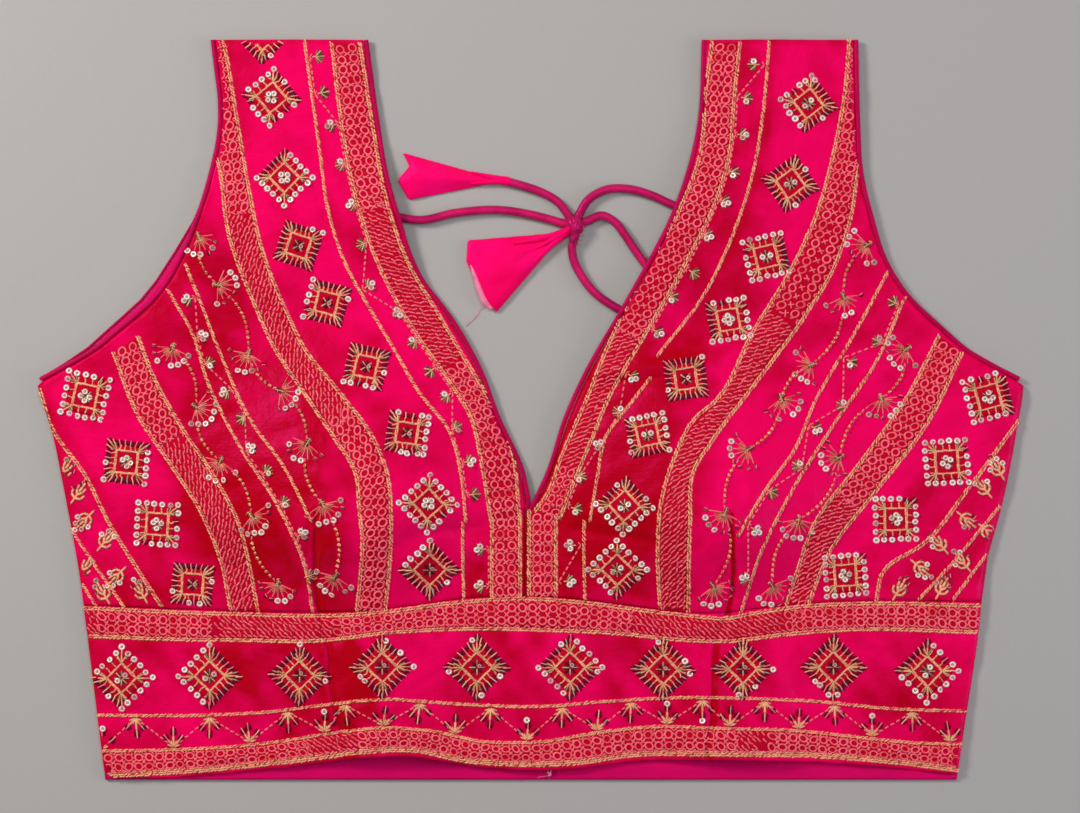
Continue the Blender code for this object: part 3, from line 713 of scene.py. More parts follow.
# ---------------------------------------------------------------- materials
class Finish:
    """A new material, whose nodes are made and joined by short calls."""

    def __init__(self, name):
        self.material = bpy.data.materials.new(name)
        self.material.use_nodes = True
        self.tree = self.material.node_tree

    @cached_property
    def place(self):
        """The coordinates of the piece's own object."""
        return self.node("TexCoord", "Object")

    def fill(self, node, values):
        """Joins outputs to a node's sockets, or sets the sockets' constant values."""
        for socket, value in values.items():
            if isinstance(value, bpy.types.NodeSocket):
                self.tree.links.new(value, node.inputs[socket])
            elif value is not None:
                node.inputs[socket].default_value = value

    def node(self, kind, output, values=None, **settings):
        """The output of a new node with these settings and values."""
        node = self.tree.nodes.new("ShaderNode" + kind)
        for name, value in settings.items():
            setattr(node, name, value)
        self.fill(node, values or {})
        return node.outputs[output]

    def finished(self, **values):
        """The material, once its shader's sockets, named with _ for each space, have these values."""
        shader = self.tree.nodes["Principled BSDF"]
        self.fill(shader, {name.replace("_", " "): value for name, value in values.items()})
        return self.material

    def attribute(self, name):
        return self.node("Attribute", "Fac", attribute_name=name)

    def noise(self, scale, detail=2.0, roughness=0.5):
        values = {"Vector": self.place, "Scale": scale, "Detail": detail, "Roughness": roughness}
        return self.node("TexNoise", "Fac", values)

    def mixed(self, factor, first, second):
        values = {"Factor": factor, "A": (*first, 1.0), "B": (*second, 1.0)}
        return self.node("Mix", "Result", values, data_type="RGBA")

    def spread(self, value, low, high):
        """The value's range from low to high, stretched over 0 to 1."""
        return self.node("MapRange", "Result", {"Value": value, "From Min": low, "From Max": high})

    def combined(self, operation, first, second):
        return self.node("Math", "Value", {0: first, 1: second}, operation=operation)

    def shifted(self, turn, value, factor):
        """A turn with a share of another value added."""
        return self.combined("ADD", turn, self.combined("MULTIPLY", value, factor))

    def bump(self, heights, strength, distance, before=None):
        values = {"Height": heights, "Strength": strength, "Distance": distance, "Normal": before}
        return self.node("Bump", "Normal", values)

    def weave(self, threads):
        """The over and under of a fine plain weave, threads to the metre."""
        values = {"Vector": self.place, "Scale": threads / 20, "Distortion": 0.4}
        over, under = (self.node("TexWave", "Fac", values, bands_direction=way) for way in "XY")
        return self.combined("MULTIPLY", over, under)


def satin(name, colour, shade, roughness, with_painted_light=False, patch=16.0, shine=0.5, painted_side_shade=False):
    """Silky cloth: its tone follows slow random patches, the front's painted sheen and shade, and painted
    shade on a round cord's sides, over weave and puckers.
    """
    finish = Finish(name)
    turn = finish.spread(finish.noise(patch, 3.0), 0.3, 0.7)
    if with_painted_light:
        small = finish.spread(finish.noise(62.0), 0.32, 0.7)
        # Painted sheen and shade: the front's attribute of painted light turns the colour from the shade
        # colour to the lit one.
        turn = finish.shifted(finish.attribute("nap"), turn, 0.45)
        turn = finish.spread(finish.shifted(turn, small, 0.4), 0.52, 1.28)
    if painted_side_shade:
        # Painted shade: the cord's sides, whose normals turn away from up, are darkened toward the shade
        # colour.
        normal = finish.node("NewGeometry", "Normal")
        upward = finish.node("SeparateXYZ", "Z", {"Vector": normal})
        turn = finish.shifted(turn, finish.spread(upward, 0.7, 0.1), -1.2)
    puckers = finish.bump(finish.noise(120.0, 3.0, 0.55), 0.5, 0.0014)
    grain = finish.bump(finish.noise(900.0, 2.0, 0.6), 0.15, 0.00025, puckers)
    return finish.finished(
        Base_Color=finish.mixed(turn, shade, colour),
        Normal=finish.bump(finish.weave(3600.0), 0.25, 0.00006, grain), Roughness=roughness,
        Sheen_Weight=0.12, Sheen_Roughness=0.4, Sheen_Tint=(1.0, 0.004, 0.30, 1.0),
        Specular_IOR_Level=shine, Specular_Tint=(1.0, 0.012, 0.42, 1.0))


def pale_thread():
    """The pale pink of a turned edge and of loose threads."""
    if "pale" not in MADE:
        MADE["pale"] = satin("pale_thread", (0.90, 0.30, 0.46), (0.80, 0.16, 0.32), 0.6, patch=300.0)
    return MADE["pale"]


def thread(name, colour, dark, roughness, metallic=0.0, glint=(1.0, 0.7, 0.5)):
    """Thread or beads whose tone changes from one to the next, by the tone attribute."""
    finish = Finish(name)
    return finish.finished(
        Base_Color=finish.mixed(finish.attribute("tone"), colour, dark),
        Normal=finish.bump(finish.noise(2600.0, 1.0), 0.35, 0.00012), Roughness=roughness,
        Metallic=metallic, Specular_Tint=(*glint, 1.0))


def sequin_material():
    """Foil sequins, from cream through pink to green gold by the tone attribute."""
    finish = Finish("sequin_foil")
    colour = finish.node("ValToRGB", "Color", {"Fac": finish.attribute("tone")})
    elements = colour.node.color_ramp.elements
    stops = ((0.0, (1.0, 0.92, 0.86)), (0.9, (0.46, 0.30, 0.16)), (0.3, (1.0, 0.66, 0.62)),
             (0.55, (0.72, 0.30, 0.33)))
    for number, (position, shade) in enumerate(stops):
        element = elements[number] if number < 2 else elements.new(position)
        element.position, element.color = position, (*shade, 1.0)
    return finish.finished(Base_Color=colour, Normal=finish.bump(finish.noise(500.0), 0.2, 0.0002),
                           Metallic=0.15, Roughness=0.25)


def ground_and_shade_material(colour, deep):
    """Darker red strips under the net and the medallions, partly stitched ground and partly painted shade,
    with fine slanted threads that follow each band.
    """
    finish = Finish("ground_stitching_and_shade")
    band = finish.node("UVMap", "UV", uv_map="band")
    waves = []
    for slant in (-35.0, 35.0):
        turn = finish.node("Mapping", "Vector", {"Vector": band, "Rotation": (0, 0, math.radians(slant))})
        values = {"Vector": turn, "Scale": 0.35, "Distortion": 2.5, "Detail Scale": 1.2}
        waves.append(finish.node("TexWave", "Fac", values))
    threads = finish.combined("MINIMUM", *waves)
    return finish.finished(
        Base_Color=finish.mixed(threads, deep, colour), Normal=finish.bump(threads, 0.5, 0.0003),
        Roughness=0.6, Specular_IOR_Level=0.3, Specular_Tint=(1.0, 0.05, 0.12, 1.0))


def floor_material(colour):
    finish = Finish("plain_floor")
    grain = finish.noise(400.0, 3.0)
    return finish.finished(Base_Color=finish.mixed(grain, dimmed(colour, 0.94), colour), Roughness=0.7)


# ---------------------------------------------------------------- stitches
class Needlework:
    """The stitches, rings, sequins and beads of one region, each row a copy of a small form."""

    kinds = ("zari", "coral", "rings", "leaves", "sequins", "dots", "beads")
    # The tone from which a sequin is smoky, how far stitches overlap, and the height of a thick one.
    smoky_from, overlap, most_height = 0.55, 1.12, 0.7

    def __init__(self, seed):
        self.chance = np.random.default_rng(seed)
        self.rows = {kind: [] for kind in self.kinds}
        self.ground_and_shade_strips = []

    def add(self, kind, x, y, turn, length, width, height, lift=0.0, tone=0.0, skew=0.0, lean=(0.0, 0.0)):
        """Puts one form down: sizes in mm, its turn in radians, skewed by a share of its width."""
        self.rows[kind].append((x, y, turn, length, width, height, lift, tone, skew, *lean))

    def stitch(self, kind, start, end, width, tone=0.0, lift=0.25):
        """A stitch from start to end, left out where the cloth does not carry it."""
        if not (MADE["surface"].covers(*start, 1) and MADE["surface"].covers(*end, 1)):
            return
        dx, dy = end[0] - start[0], end[1] - start[1]
        self.add(kind, (start[0] + end[0]) / 2, (start[1] + end[1]) / 2, math.atan2(dy, dx),
                 math.hypot(dx, dy) * self.overlap, width, min(width, self.most_height), lift, tone)

    def ray(self, kind, x, y, angle, near, far, width, tone=0.0, lift=0.25):
        """A stitch that points away from a place, from near to far of it."""
        self.stitch(kind, around(x, y, angle, near), around(x, y, angle, far), width, tone, lift)

    def petals(self, x, y, way, length):
        """A bright stitch between two dark beads, all pointing the same way."""
        chance = self.chance
        for side in (-1, 1):
            place = around(x, y, way + side * math.pi / 2, chance.uniform(0.8, 1.05))
            self.add("dots", *place, way - 0.12 * side, length * chance.uniform(0.9, 1.1), 1.4, 0.7, 0.3, 1.0)
        self.add(chance.choice(["zari", "coral", "dots"]), x, y, way, length * 1.2, 0.66, 0.6, 0.6,
                 chance.uniform(0.0, 0.15))

    def sequin(self, x, y, size, tone, lift=0.35):
        """A pale sequin with its thread, or a smoky one tipped on its side with a bright coral stitch beside
        it as a painted glint.
        """
        chance = self.chance
        way = chance.uniform(0, math.tau)
        if tone > self.smoky_from:
            way += chance.normal(0.0, 0.25)
            self.add("dots", x, y, way, size, size * 0.42, 0.7, lift, chance.uniform(0.8, 1.0))
            # Painted glint: a bright coral stitch laid beside the smoky sequin.
            beside = around(x, y, way + math.pi / 2, size * chance.uniform(0.2, 0.4))
            self.add("coral", *beside, way, size * 0.8, 0.6, 0.55, lift + 0.2, chance.uniform(0.0, 0.3))
            return
        lean = chance.normal(0.0, 0.2, 2)
        grey = float(np.clip(tone + abs(chance.normal(0.0, 0.2)), 0.0, 0.75))
        self.add("sequins", x, y, way, size, size, size, lift, grey, lean=tuple(lean))
        self.add("dots", x, y, 0.0, size * 0.3, size * 0.3, 0.5, lift + 0.1, grey * 0.6)


def join_forms(name, form, rows, material, margin=1):
    """One piece of all copies of a form that the cloth carries, each tilted with it."""
    surface = MADE["surface"]
    points, faces = form
    rows = np.array(rows, float)
    rows = rows[surface.covers(rows[:, 0], rows[:, 1], margin)]
    x, y, turn, length, width, height, lift, tone, skew, lean_x, lean_y = rows.T[:, :, None]
    local_y = points[None, :, 1] * width
    local_x = points[None, :, 0] * length + skew * local_y
    local_z = points[None, :, 2] * height + lean_x * local_x + lean_y * local_y + lift
    across = local_x * np.cos(turn) - local_y * np.sin(turn)
    upward = local_x * np.sin(turn) + local_y * np.cos(turn)
    slope_x, slope_y = surface.slopes(x, y)
    size = np.sqrt(1 + slope_x**2 + slope_y**2)
    placed = np.stack([
        x + across - slope_x / size * local_z,
        y + upward - slope_y / size * local_z,
        surface.at(x, y) + across * slope_x + upward * slope_y + local_z / size,
    ], axis=-1) * MM
    count, each = len(rows), len(points)
    corners = np.concatenate([np.array(face) for face in faces])
    loops = (corners[None, :] + (np.arange(count) * each)[:, None]).ravel()
    sizes = np.tile([len(face) for face in faces], count)
    mesh = mesh_from_arrays(name, placed.reshape(-1, 3), loops, sizes)
    attribute = mesh.attributes.new("tone", "FLOAT", "POINT")
    attribute.data.foreach_set("value", np.repeat(tone, each).astype(np.float32))
    return finish_piece(linked(name, mesh), material)


def ribbon(left, right, lift=0.22, columns=8):
    """Points and faces of a strip between two lines that lies on the cloth, and its UVs."""
    surface = MADE["surface"]
    along = run_along((left + right) / 2)
    shares = np.linspace(0.0, 1.0, columns + 1)
    flat = left[:, None, :] * (1 - shares[None, :, None]) + right[:, None, :] * shares[None, :, None]
    heights = surface.at(flat[..., 0], flat[..., 1]) + lift * np.sin(np.pi * (0.12 + 0.76 * shares))
    points = np.concatenate([flat, heights[..., None]], axis=-1).reshape(-1, 3)
    width = np.hypot(*(right - left).T)
    uv = np.stack([np.broadcast_to(along[:, None], heights.shape), width[:, None] * shares], axis=-1)
    covered = surface.covers(flat[..., 0], flat[..., 1], 1)
    faces = []
    for row, column in np.ndindex(len(left) - 1, columns):
        if covered[row:row + 2, column:column + 2].all():
            a = row * (columns + 1) + column
            faces.append((a, a + 1, a + columns + 2, a + columns + 1))
    normal = np.cross(points[1] - points[0], points[columns + 1] - points[0])
    if normal[2] < 0:
        faces = [face[::-1] for face in faces]
    return points, faces, uv.reshape(-1, 2)


def join_ground_and_shade(name, strips, material, depth=0.5):
    """One closed piece of thin strips, each with a top, a bottom and its edges."""
    points, faces, uvs = [], [], []
    offset = 0
    for top, quads, uv in strips:
        count = len(top)
        points += [top, top - (0.0, 0.0, depth)]
        uvs += [uv, uv]
        sides = set()
        for face in quads:
            faces.append([offset + corner for corner in face])
            faces.append([offset + count + corner for corner in face[::-1]])
            sides.update(zip(face, face[1:] + face[:1]))
        for start, end in sorted(sides - {(end, start) for start, end in sides}):
            faces.append([offset + end, offset + start, offset + count + start, offset + count + end])
        offset += 2 * count
    used, loops = np.unique(np.concatenate([np.array(face) for face in faces]), return_inverse=True)
    mesh = mesh_from_arrays(name, np.concatenate(points)[used] * MM, loops, [len(face) for face in faces])
    layer = mesh.uv_layers.new(name="band")
    layer.data.foreach_set("uv", np.concatenate(uvs)[used][loops].astype(np.float32).ravel())
    return finish_piece(linked(name, mesh), material)


# ---------------------------------------------------------------- motifs
def turned(x, y, angle, u, v):
    """The place at u and v from another, in a frame that is turned by an angle."""
    cosine, sine = math.cos(angle), math.sin(angle)
    return x + u * cosine - v * sine, y + u * sine + v * cosine


def zari_line(work, places, width, pitch, slant=24.0):
    """A bundle of slanted gold stitches side by side, some of them dark, some of the last strand rosy."""
    chance = work.chance
    bright_under, dark_from, rosy_share = 0.6, 0.86, 0.36
    strands = 3 if width > 2.5 else 2
    each = width / strands
    line = smooth_line(places, pitch)
    turns = directions(line)
    for strand in range(strands):
        shift = (strand - (strands - 1) / 2) * each
        for (x, y), turn in zip(line, turns):
            kind = chance.random()
            tone = chance.uniform(0.0, 0.2) if kind < bright_under else chance.uniform(0.2, 0.55)
            tone = chance.uniform(0.7, 1.0) if kind > dark_from else tone
            sway, along = shift + chance.normal(0.0, 0.08), chance.normal(0.0, 0.3 * pitch)
            x, y = turned(x, y, turn, along, sway)
            lean = math.radians(chance.normal(slant, 8.0))
            rosy = strand == strands - 1 and tone < 0.7 and chance.random() < rosy_share
            work.add("coral" if rosy else "zari", x, y, turn + lean, chance.uniform(1.6, 2.2),
                     0.5 + 0.22 * each, 0.85 - 0.25 * tone, 0.25 - 0.1 * tone, tone)


def ring(work, x, y, turn, length, width, tone, skew, lift=0.32, arcs=8):
    """A ring of the net; one that the cloth's edge cuts is sewn as the arcs that fit."""
    if MADE["surface"].covers(x, y, 3):
        work.add("rings", x, y, turn, length, width, 4.6, lift, tone, skew)
        return
    for arc in range(arcs):
        angle = arc * math.tau / arcs
        place = turned(x, y, turn, math.cos(angle) * length * 0.43, math.sin(angle) * width * 0.43)
        work.add("coral", *place, turn + angle + math.pi / 2, length * 0.4, 0.7, 0.6, lift, tone)


def net_band(work, inner, outer, zones, slant, pitch=5.1, rows=2, line_room=1.1):
    """Two rows of rings with crossed stitches between them, or slanted stitches where the net closes."""
    chance = work.chance
    length = len(smooth_line(inner, 1.0))
    first, second = resampled(inner, length), resampled(outer, length)
    # A darker red strip under the band: stitched ground, partly painted shade among the net's threads.
    work.ground_and_shade_strips.append((first * 0.95 + second * 0.05, first * 0.05 + second * 0.95))
    centre = (first + second) / 2
    to_first, to_second = distances(centre, first), distances(centre, second)
    gap = to_first + to_second - 2 * line_room
    turns = np.unwrap(directions(centre))
    normal = np.column_stack([-np.sin(turns), np.cos(turns)])
    side = np.sign(((second - first) * normal).sum(axis=1))
    centre = centre + normal * (side * (to_second - to_first) / 2)[:, None]
    run = run_along(centre)
    turns = np.unwrap(directions(centre))
    shares, openness = np.array(zones).T
    slant = math.radians(slant)
    closed_to, slant_spacing, slant_length, past_ends = 0.5, 1.9, 2.7, 8.0

    def open_at(along):
        return float(np.interp(along / run[-1], shares, openness)) + chance.normal(0.0, 0.06)

    def at(along, across):
        turn = np.interp(along, run, turns)
        x = np.interp(along, run, centre[:, 0]) - math.sin(turn) * across
        return x, np.interp(along, run, centre[:, 1]) + math.cos(turn) * across, turn

    def stroke(along, across, lean, size, width, tone):
        x, y, turn = at(along + chance.normal(0.0, 0.14), across + chance.normal(0.0, 0.14))
        size *= chance.uniform(0.85, 1.15)
        work.add("coral", x, y, turn + lean + chance.normal(0.0, 0.16), size, width, 0.62, 0.36, tone)

    count = max(int(run[-1] / pitch), 1)
    for step in range(count):
        along = (step + 0.5) * run[-1] / count
        between = along + pitch / 2
        each = np.interp(along, run, gap) / rows
        wide = open_at(along)
        if wide <= closed_to:
            continue
        skew = math.copysign(1.1 - min(wide, 1.0), slant) * 0.8
        room = float(min((each / 5.2) ** 2, 1.0))
        for row in range(rows):
            across = (row - (rows - 1) / 2) * each
            x, y, turn = at(along + chance.normal(0, 0.12), across + chance.normal(0, 0.12))
            ring(work, x, y, turn + chance.normal(0, 0.2), pitch * chance.uniform(0.86, 0.96),
                 min(each * 0.92, 4.8) * chance.uniform(0.92, 1.04),
                 float(np.clip(chance.normal(0.25, 0.28), 0, 1)), skew + chance.normal(0, 0.08))
            stroke(between, across, chance.choice([-0.9, 0.9]), 2.6 * room, 0.85 * room,
                   chance.uniform(0.0, 0.8))
        for lean in (-0.85, 0.85):
            stroke(between, 0.0, lean, 4.0 * room, 0.8, chance.uniform(0.0, 0.5))
            for edge in (-1, 1):
                stroke(between + edge * lean * 0.9, edge * (each * rows / 2 - 0.5), lean, 2.3 * room,
                       0.85, chance.uniform(0.1, 0.7))
    steep = abs(math.sin(slant))
    for crossing in np.arange(-past_ends, run[-1] + past_ends, slant_spacing / steep):
        half = np.interp(crossing, run, gap) / 2
        pieces = max(round(2 * half / (slant_length * steep)), 2)
        for piece in range(pieces):
            across = half * ((2 * piece + 1) / pieces - 1)
            along = crossing + across / math.tan(slant) + chance.normal(0.0, 0.2)
            if open_at(along) <= closed_to and 0.0 < along < run[-1]:
                stroke(along, across, slant + 0.2 * (-1) ** piece, 1.1 * 2 * half / pieces / steep,
                       chance.uniform(0.7, 1.0), chance.uniform(0.0, 0.8))


def frame_side(work, start, end, pieces=5):
    """One side of a medallion's gold square, in long overlapping stitches."""
    chance = work.chance
    for strand in (-0.3, 0.3):
        for piece in range(pieces):
            shares = (piece - 0.1) / pieces, (piece + 1.1) / pieces
            ends = [(start[0] + (end[0] - start[0]) * share + strand + chance.normal(0, 0.1),
                     start[1] + (end[1] - start[1]) * share + strand * 0.4 + chance.normal(0, 0.1))
                    for share in shares]
            work.stitch("zari", *ends, 0.78, chance.uniform(0.0, 0.55), 0.4)


def medallion(work, x, y, degrees, half, smoky, sequin_size, frame_share):
    """A gold square with spokes and sprays out to a square of sequins or dark beads, round a flower."""
    chance = work.chance
    lie = math.radians(degrees)
    frame, edge = half * frame_share, half * 0.84

    def at(u, v):
        return turned(x, y, lie, u, v)

    steps = np.linspace(-edge, edge, 9)
    widths = edge * (1 - 0.2 * np.abs(steps / edge) ** 5)
    # A darker red strip under the medallion: painted shade among its spokes.
    work.ground_and_shade_strips.append(tuple(
        np.array([at(way * width, v) for v, width in zip(steps, widths)]) for way in (-1, 1)))
    corners = [at(-frame, -frame), at(frame, -frame), at(frame, frame), at(-frame, frame)]
    for start, end in zip(corners, corners[1:] + corners[:1]):
        frame_side(work, start, end)
    for quarter in range(4):

        def on_side(u, v):
            return at(*turned(0, 0, quarter * math.pi / 2, u, v))

        dark_side = chance.random() < smoky
        places = (-0.72, -0.43, -0.14, 0.14, 0.43, 0.72, 1.0) if dark_side else (-0.6, -0.2, 0.2, 0.6, 1.0)
        for place in places:
            inner = max(min(place * half * 0.95, frame), -frame)
            reach = 0.9 if place > 0.9 else 0.8
            tip = on_side(place * half * reach + chance.normal(0, 0.2), half * reach)
            bend = on_side((inner + place * half * reach) / 2 + chance.normal(0, 0.35),
                           half * (0.5 + reach) / 2)
            tone = chance.uniform(0.0, 0.6)
            work.stitch("zari", on_side(inner, frame), bend, 0.78, tone, 0.35)
            work.stitch("zari", bend, tip, 0.7, tone, 0.35)
            way = lie + (quarter + 1) * math.pi / 2 - 0.7 * place
            if dark_side == (chance.random() < 0.9):
                work.petals(*on_side(place * half * 0.92, half * 0.88), way, half * 0.3)
            else:
                spot = on_side(place * half * 0.96 + chance.normal(0, 0.18),
                               half * 0.96 + chance.normal(0, 0.18))
                work.sequin(*spot, sequin_size * chance.uniform(0.93, 1.05), 0.05)
        for lean in (-0.5, 0.0, 0.5):
            root = on_side(frame * 0.98, frame * 0.98)
            tip = around(*root, lie + quarter * math.pi / 2 + math.pi / 4 + lean, half * 0.4)
            work.stitch("leaves" if lean else "zari", root, tip, 0.85, chance.uniform(0.0, 0.7), 0.45)
    for petal in range(8):
        angle = petal * math.pi / 4 + lie
        work.add("dots", *around(x, y, angle, half * 0.19), angle, half * 0.34, 1.8, 0.5, 0.2, 1.0)
        if petal % 2 or smoky < 0.6:
            work.ray("leaves", x, y, angle, half * 0.05, half * 0.33, 0.8, chance.uniform(0.0, 0.6), 0.5)
    seeds = 4 if smoky < 0.3 else (2 if smoky < 0.6 else 1)
    reach, size, tone = (0.2, 0.92, 0.05) if seeds > 1 else (0.12, 0.7, 0.5)
    for seed in range(seeds):
        place = around(0, 0, seed * math.tau / seeds + chance.normal(0, 0.2), half * reach)
        work.sequin(*at(*place), sequin_size * size, tone, 0.8)


def fan(work, x, y, degrees, sequin_size, reach=9.6, rays=8, opening=math.radians(158.0)):
    """Thin rays from a green gold root, most of them out to a sequin."""
    chance = work.chance
    middle = math.radians(degrees + chance.normal(0, 5))
    pale_from = int(chance.integers(0, rays - 2))
    for ray in range(rays):
        angle = middle + opening * (ray / (rays - 1) - 0.5)
        length = reach * chance.uniform(0.9, 1.05)
        work.ray("coral", x, y, angle, 1.4, length * 0.84, 0.68, chance.uniform(0.0, 0.9))
        between = angle + opening / (rays - 1) / 2
        if ray < rays - 1:
            work.ray("zari", x, y, between, 1.2, length * 0.55, 0.5, chance.uniform(0.3, 1.0))
        tone = 0.12 if pale_from <= ray < pale_from + 3 else chance.uniform(0.3, 1.0)
        if chance.random() < 0.92:
            work.sequin(*around(x, y, angle, length), sequin_size * (1.0 if tone < 0.5 else 0.82), tone)
    for step in range(5):
        stem = around(x, y, middle, -2.6 + 1.1 * step)
        for way in (-1, 1):
            tip = around(*stem, middle + way * chance.uniform(0.7, 1.3), chance.uniform(0.9, 1.8))
            work.stitch("leaves", stem, tip, 0.8, chance.uniform(0.0, 1.0), 0.45)
    work.ray("zari", x, y, middle, -2.8, 2.4, 0.7, 0.4, 0.55)


def chain(work, start, end, bow, pitch=2.5):
    """Long gold beads that thin out to short stitches, from one fan's root to the next."""
    chance = work.chance
    start, end = np.array(start[:2]), np.array(end[:2])
    run = end - start
    length = float(np.hypot(*run))
    side = np.array([-run[1], run[0]]) / max(length, 1e-6)
    count = max(int(length / pitch), 4)
    before = start
    for step in range(1, count):
        share = step / count
        place = start + run * share + side * length * bow * math.sin(math.pi * share)
        turn = math.atan2(place[1] - before[1], place[0] - before[0]) + chance.normal(0.0, 0.25)
        if 0.3 < share < 0.9:
            size = chance.uniform(1.25, 1.9)
            work.add("beads", *place, turn, pitch, size, size * 0.7, 0.45, chance.uniform(0, 1))
            work.add("zari", *place, turn + 0.9, 2.2, 0.5, 0.8, 0.9, chance.choice([0.1, 0.9]))
        elif share > 0.2:
            work.add("coral", *place, turn, 2.2, 0.95, 0.7, 0.35, chance.uniform(0, 0.6))
        before = place


def flower(work, x, y, angle, sequin_size):
    """Green gold leaf stitches with up to three sequins, on the corner of a vine."""
    chance = work.chance
    for leaf in range(7):
        share = (leaf / 3 - 1) * 1.2
        root = around(x, y, angle, -1.6)
        tip = around(*root, angle + share, 4.6 - 0.6 * abs(share))
        tone = chance.uniform(0.0, 0.25) if leaf % 2 else chance.uniform(0.55, 1.0)
        work.stitch("leaves", root, tip, 0.9, tone, 0.35 if leaf % 2 else 0.25)
    work.ray("zari", x, y, angle, -3.2, 0.4, 0.8, 0.3, 0.55)
    for seed in range(int(chance.choice([0, 1, 2, 3], p=[0.15, 0.35, 0.3, 0.2]))):
        place = around(x, y, angle + (seed - 1) * 1.7, 1.6)
        work.sequin(*place, sequin_size * 0.95, 0.05 if chance.random() < 0.8 else 0.45, 0.8)


def sprig(work, x, y, degrees, sequin_size, size=8.6):
    """A fern of thick bent gold fingers on a short stem, some of them out to a sequin."""
    chance = work.chance
    angle = math.radians(degrees)
    pale = chance.random() < 0.6
    root = around(x, y, angle, -size * 0.7)
    work.ray("zari", *root, angle, 0.0, size * 0.8, 1.1, 0.2, 0.45)
    for finger in range(5):
        share = finger / 2 - 1
        stem = around(*root, angle, size * (0.85 - 0.45 * abs(share)))
        way = angle + share * 1.15
        bend = around(*stem, way, size * 0.34)
        tip = around(*bend, way - share * 0.9, size * 0.3)
        work.stitch("zari", stem, bend, 1.4, chance.uniform(0.0, 0.35), 0.45)
        work.stitch("zari", bend, tip, 1.15, chance.uniform(0.0, 0.45), 0.42)
        for beside in (-0.42, 0.42):
            start = around(*stem, way + beside, size * 0.14)
            work.stitch("leaves", start, around(*start, way, size * 0.3), 0.5, chance.uniform(0.6, 1.0), 0.3)
        if chance.random() < 0.75:
            tone = 0.1 if pale and chance.random() < 0.8 else chance.uniform(0.35, 0.95)
            work.sequin(*around(*tip, way - share * 0.9, 0.9), sequin_size * 0.9, tone)


def dashes(work, start, end, pitch=2.9, width=0.95):
    """A dashed line of coral thread."""
    start, end = np.array(start[:2], float), np.array(end[:2], float)
    run = end - start
    count = max(int(np.hypot(*run) / pitch), 1)
    for step in range(count):
        place = start + run * (step + 0.5) / count
        work.add("coral", *place, math.atan2(run[1], run[0]) + work.chance.normal(0, 0.08),
                 pitch * 0.8, width, 0.65, 0.3, work.chance.uniform(0.0, 0.35))


def vine(work, first, second, flowers, sequin_size):
    """Flowers on a dashed zigzag whose corners touch the two lines."""
    lines = [smooth_line(first, 1.0), smooth_line(second, 1.0)]
    before = None
    for x, y in flowers:
        nearest = [line[np.argmin(np.hypot(line[:, 0] - x, line[:, 1] - y))] for line in lines]
        corner = min(nearest, key=lambda place: math.hypot(place[0] - x, place[1] - y))
        angle = math.atan2(y - corner[1], x - corner[0])
        corner = around(*corner, angle, 1.6)
        flower(work, x, y, angle, sequin_size)
        for way in (-0.9, 0.9):
            work.ray("coral", *corner, angle + way, 0.0, 1.9, 0.7, 0.3, 0.4)
        if before is not None:
            dashes(work, before, corner)
        before = corner


def hem_flower(work, x, y, way, sequin_size, size=10.4):
    """Three long dark petals on a gold clump that stands on a line, or hangs from it."""
    chance = work.chance
    upright = math.radians(90 * way)
    for share in (-1, 0, 1):
        angle = upright + math.radians(40 * share + chance.normal(0, 4))
        reach = size * (0.8 if share else 1.04) * chance.uniform(0.94, 1.05)
        work.ray("zari", x, y, angle, 0.4, reach * 0.55, 1.1, chance.uniform(0.0, 0.5), 0.5)
        work.petals(*around(x, y, angle, reach * 0.74), angle, reach * 0.4)
    for share in (-1.7, -0.6, 0.6, 1.7):
        angle = upright + math.radians(40 * share)
        work.ray("leaves", x, y, angle, 0.0, 3.4, 1.0, chance.uniform(0.0, 0.5), 0.4)
        work.ray("zari", x, y, angle, 0.6, 3.0, 0.7, chance.uniform(0.0, 0.3), 0.6)
    if chance.random() < 0.25:
        work.sequin(*around(x, y, upright, size * 0.95), sequin_size, 0.1, 0.8)


# ---------------------------------------------------------------- cloth pieces
def creased(x, y, creases):
    """Rise in mm of straight creases at these places."""
    total = np.zeros_like(x)
    for x0, y0, x1, y1, half_width, rise in creases:
        run = (x1 - x0) ** 2 + (y1 - y0) ** 2
        along = np.clip(((x - x0) * (x1 - x0) + (y - y0) * (y1 - y0)) / run, 0.0, 1.0)
        away = np.hypot(x - x0 - along * (x1 - x0), y - y0 - along * (y1 - y0))
        total += rise * bell(away, half_width)
    return total


def fold_heights(x, y):
    """Rise in mm of the listed creases and slow waves."""
    total = creased(x, y, CREASES)
    for length, degrees, start, rise in WAVES:
        angle = math.radians(degrees)
        phase = (x * math.cos(angle) + y * math.sin(angle)) / length * math.tau + math.radians(start)
        phase = phase + 1.2 * np.sin(y / 31.0 + start) + 1.1 * np.sin(x / 27.0 - start)
        total += rise * np.sin(phase)
    return total


def painted_light_shift(x, y):
    """How far the listed patches of painted sheen and shade turn the satin to pink or to red."""
    total = np.zeros_like(x)
    for x0, y0, across, upward, degrees, shift in PAINTED_LIGHT_PATCHES:
        u, v = turned(0, 0, -math.radians(degrees), x - x0, y - y0)
        total += shift * np.exp(-((u / across) ** 2) - (v / upward) ** 2)
    return total


def seam_places(lines, spacing=1.0):
    return np.concatenate([smooth_line(line, spacing) for line in lines])


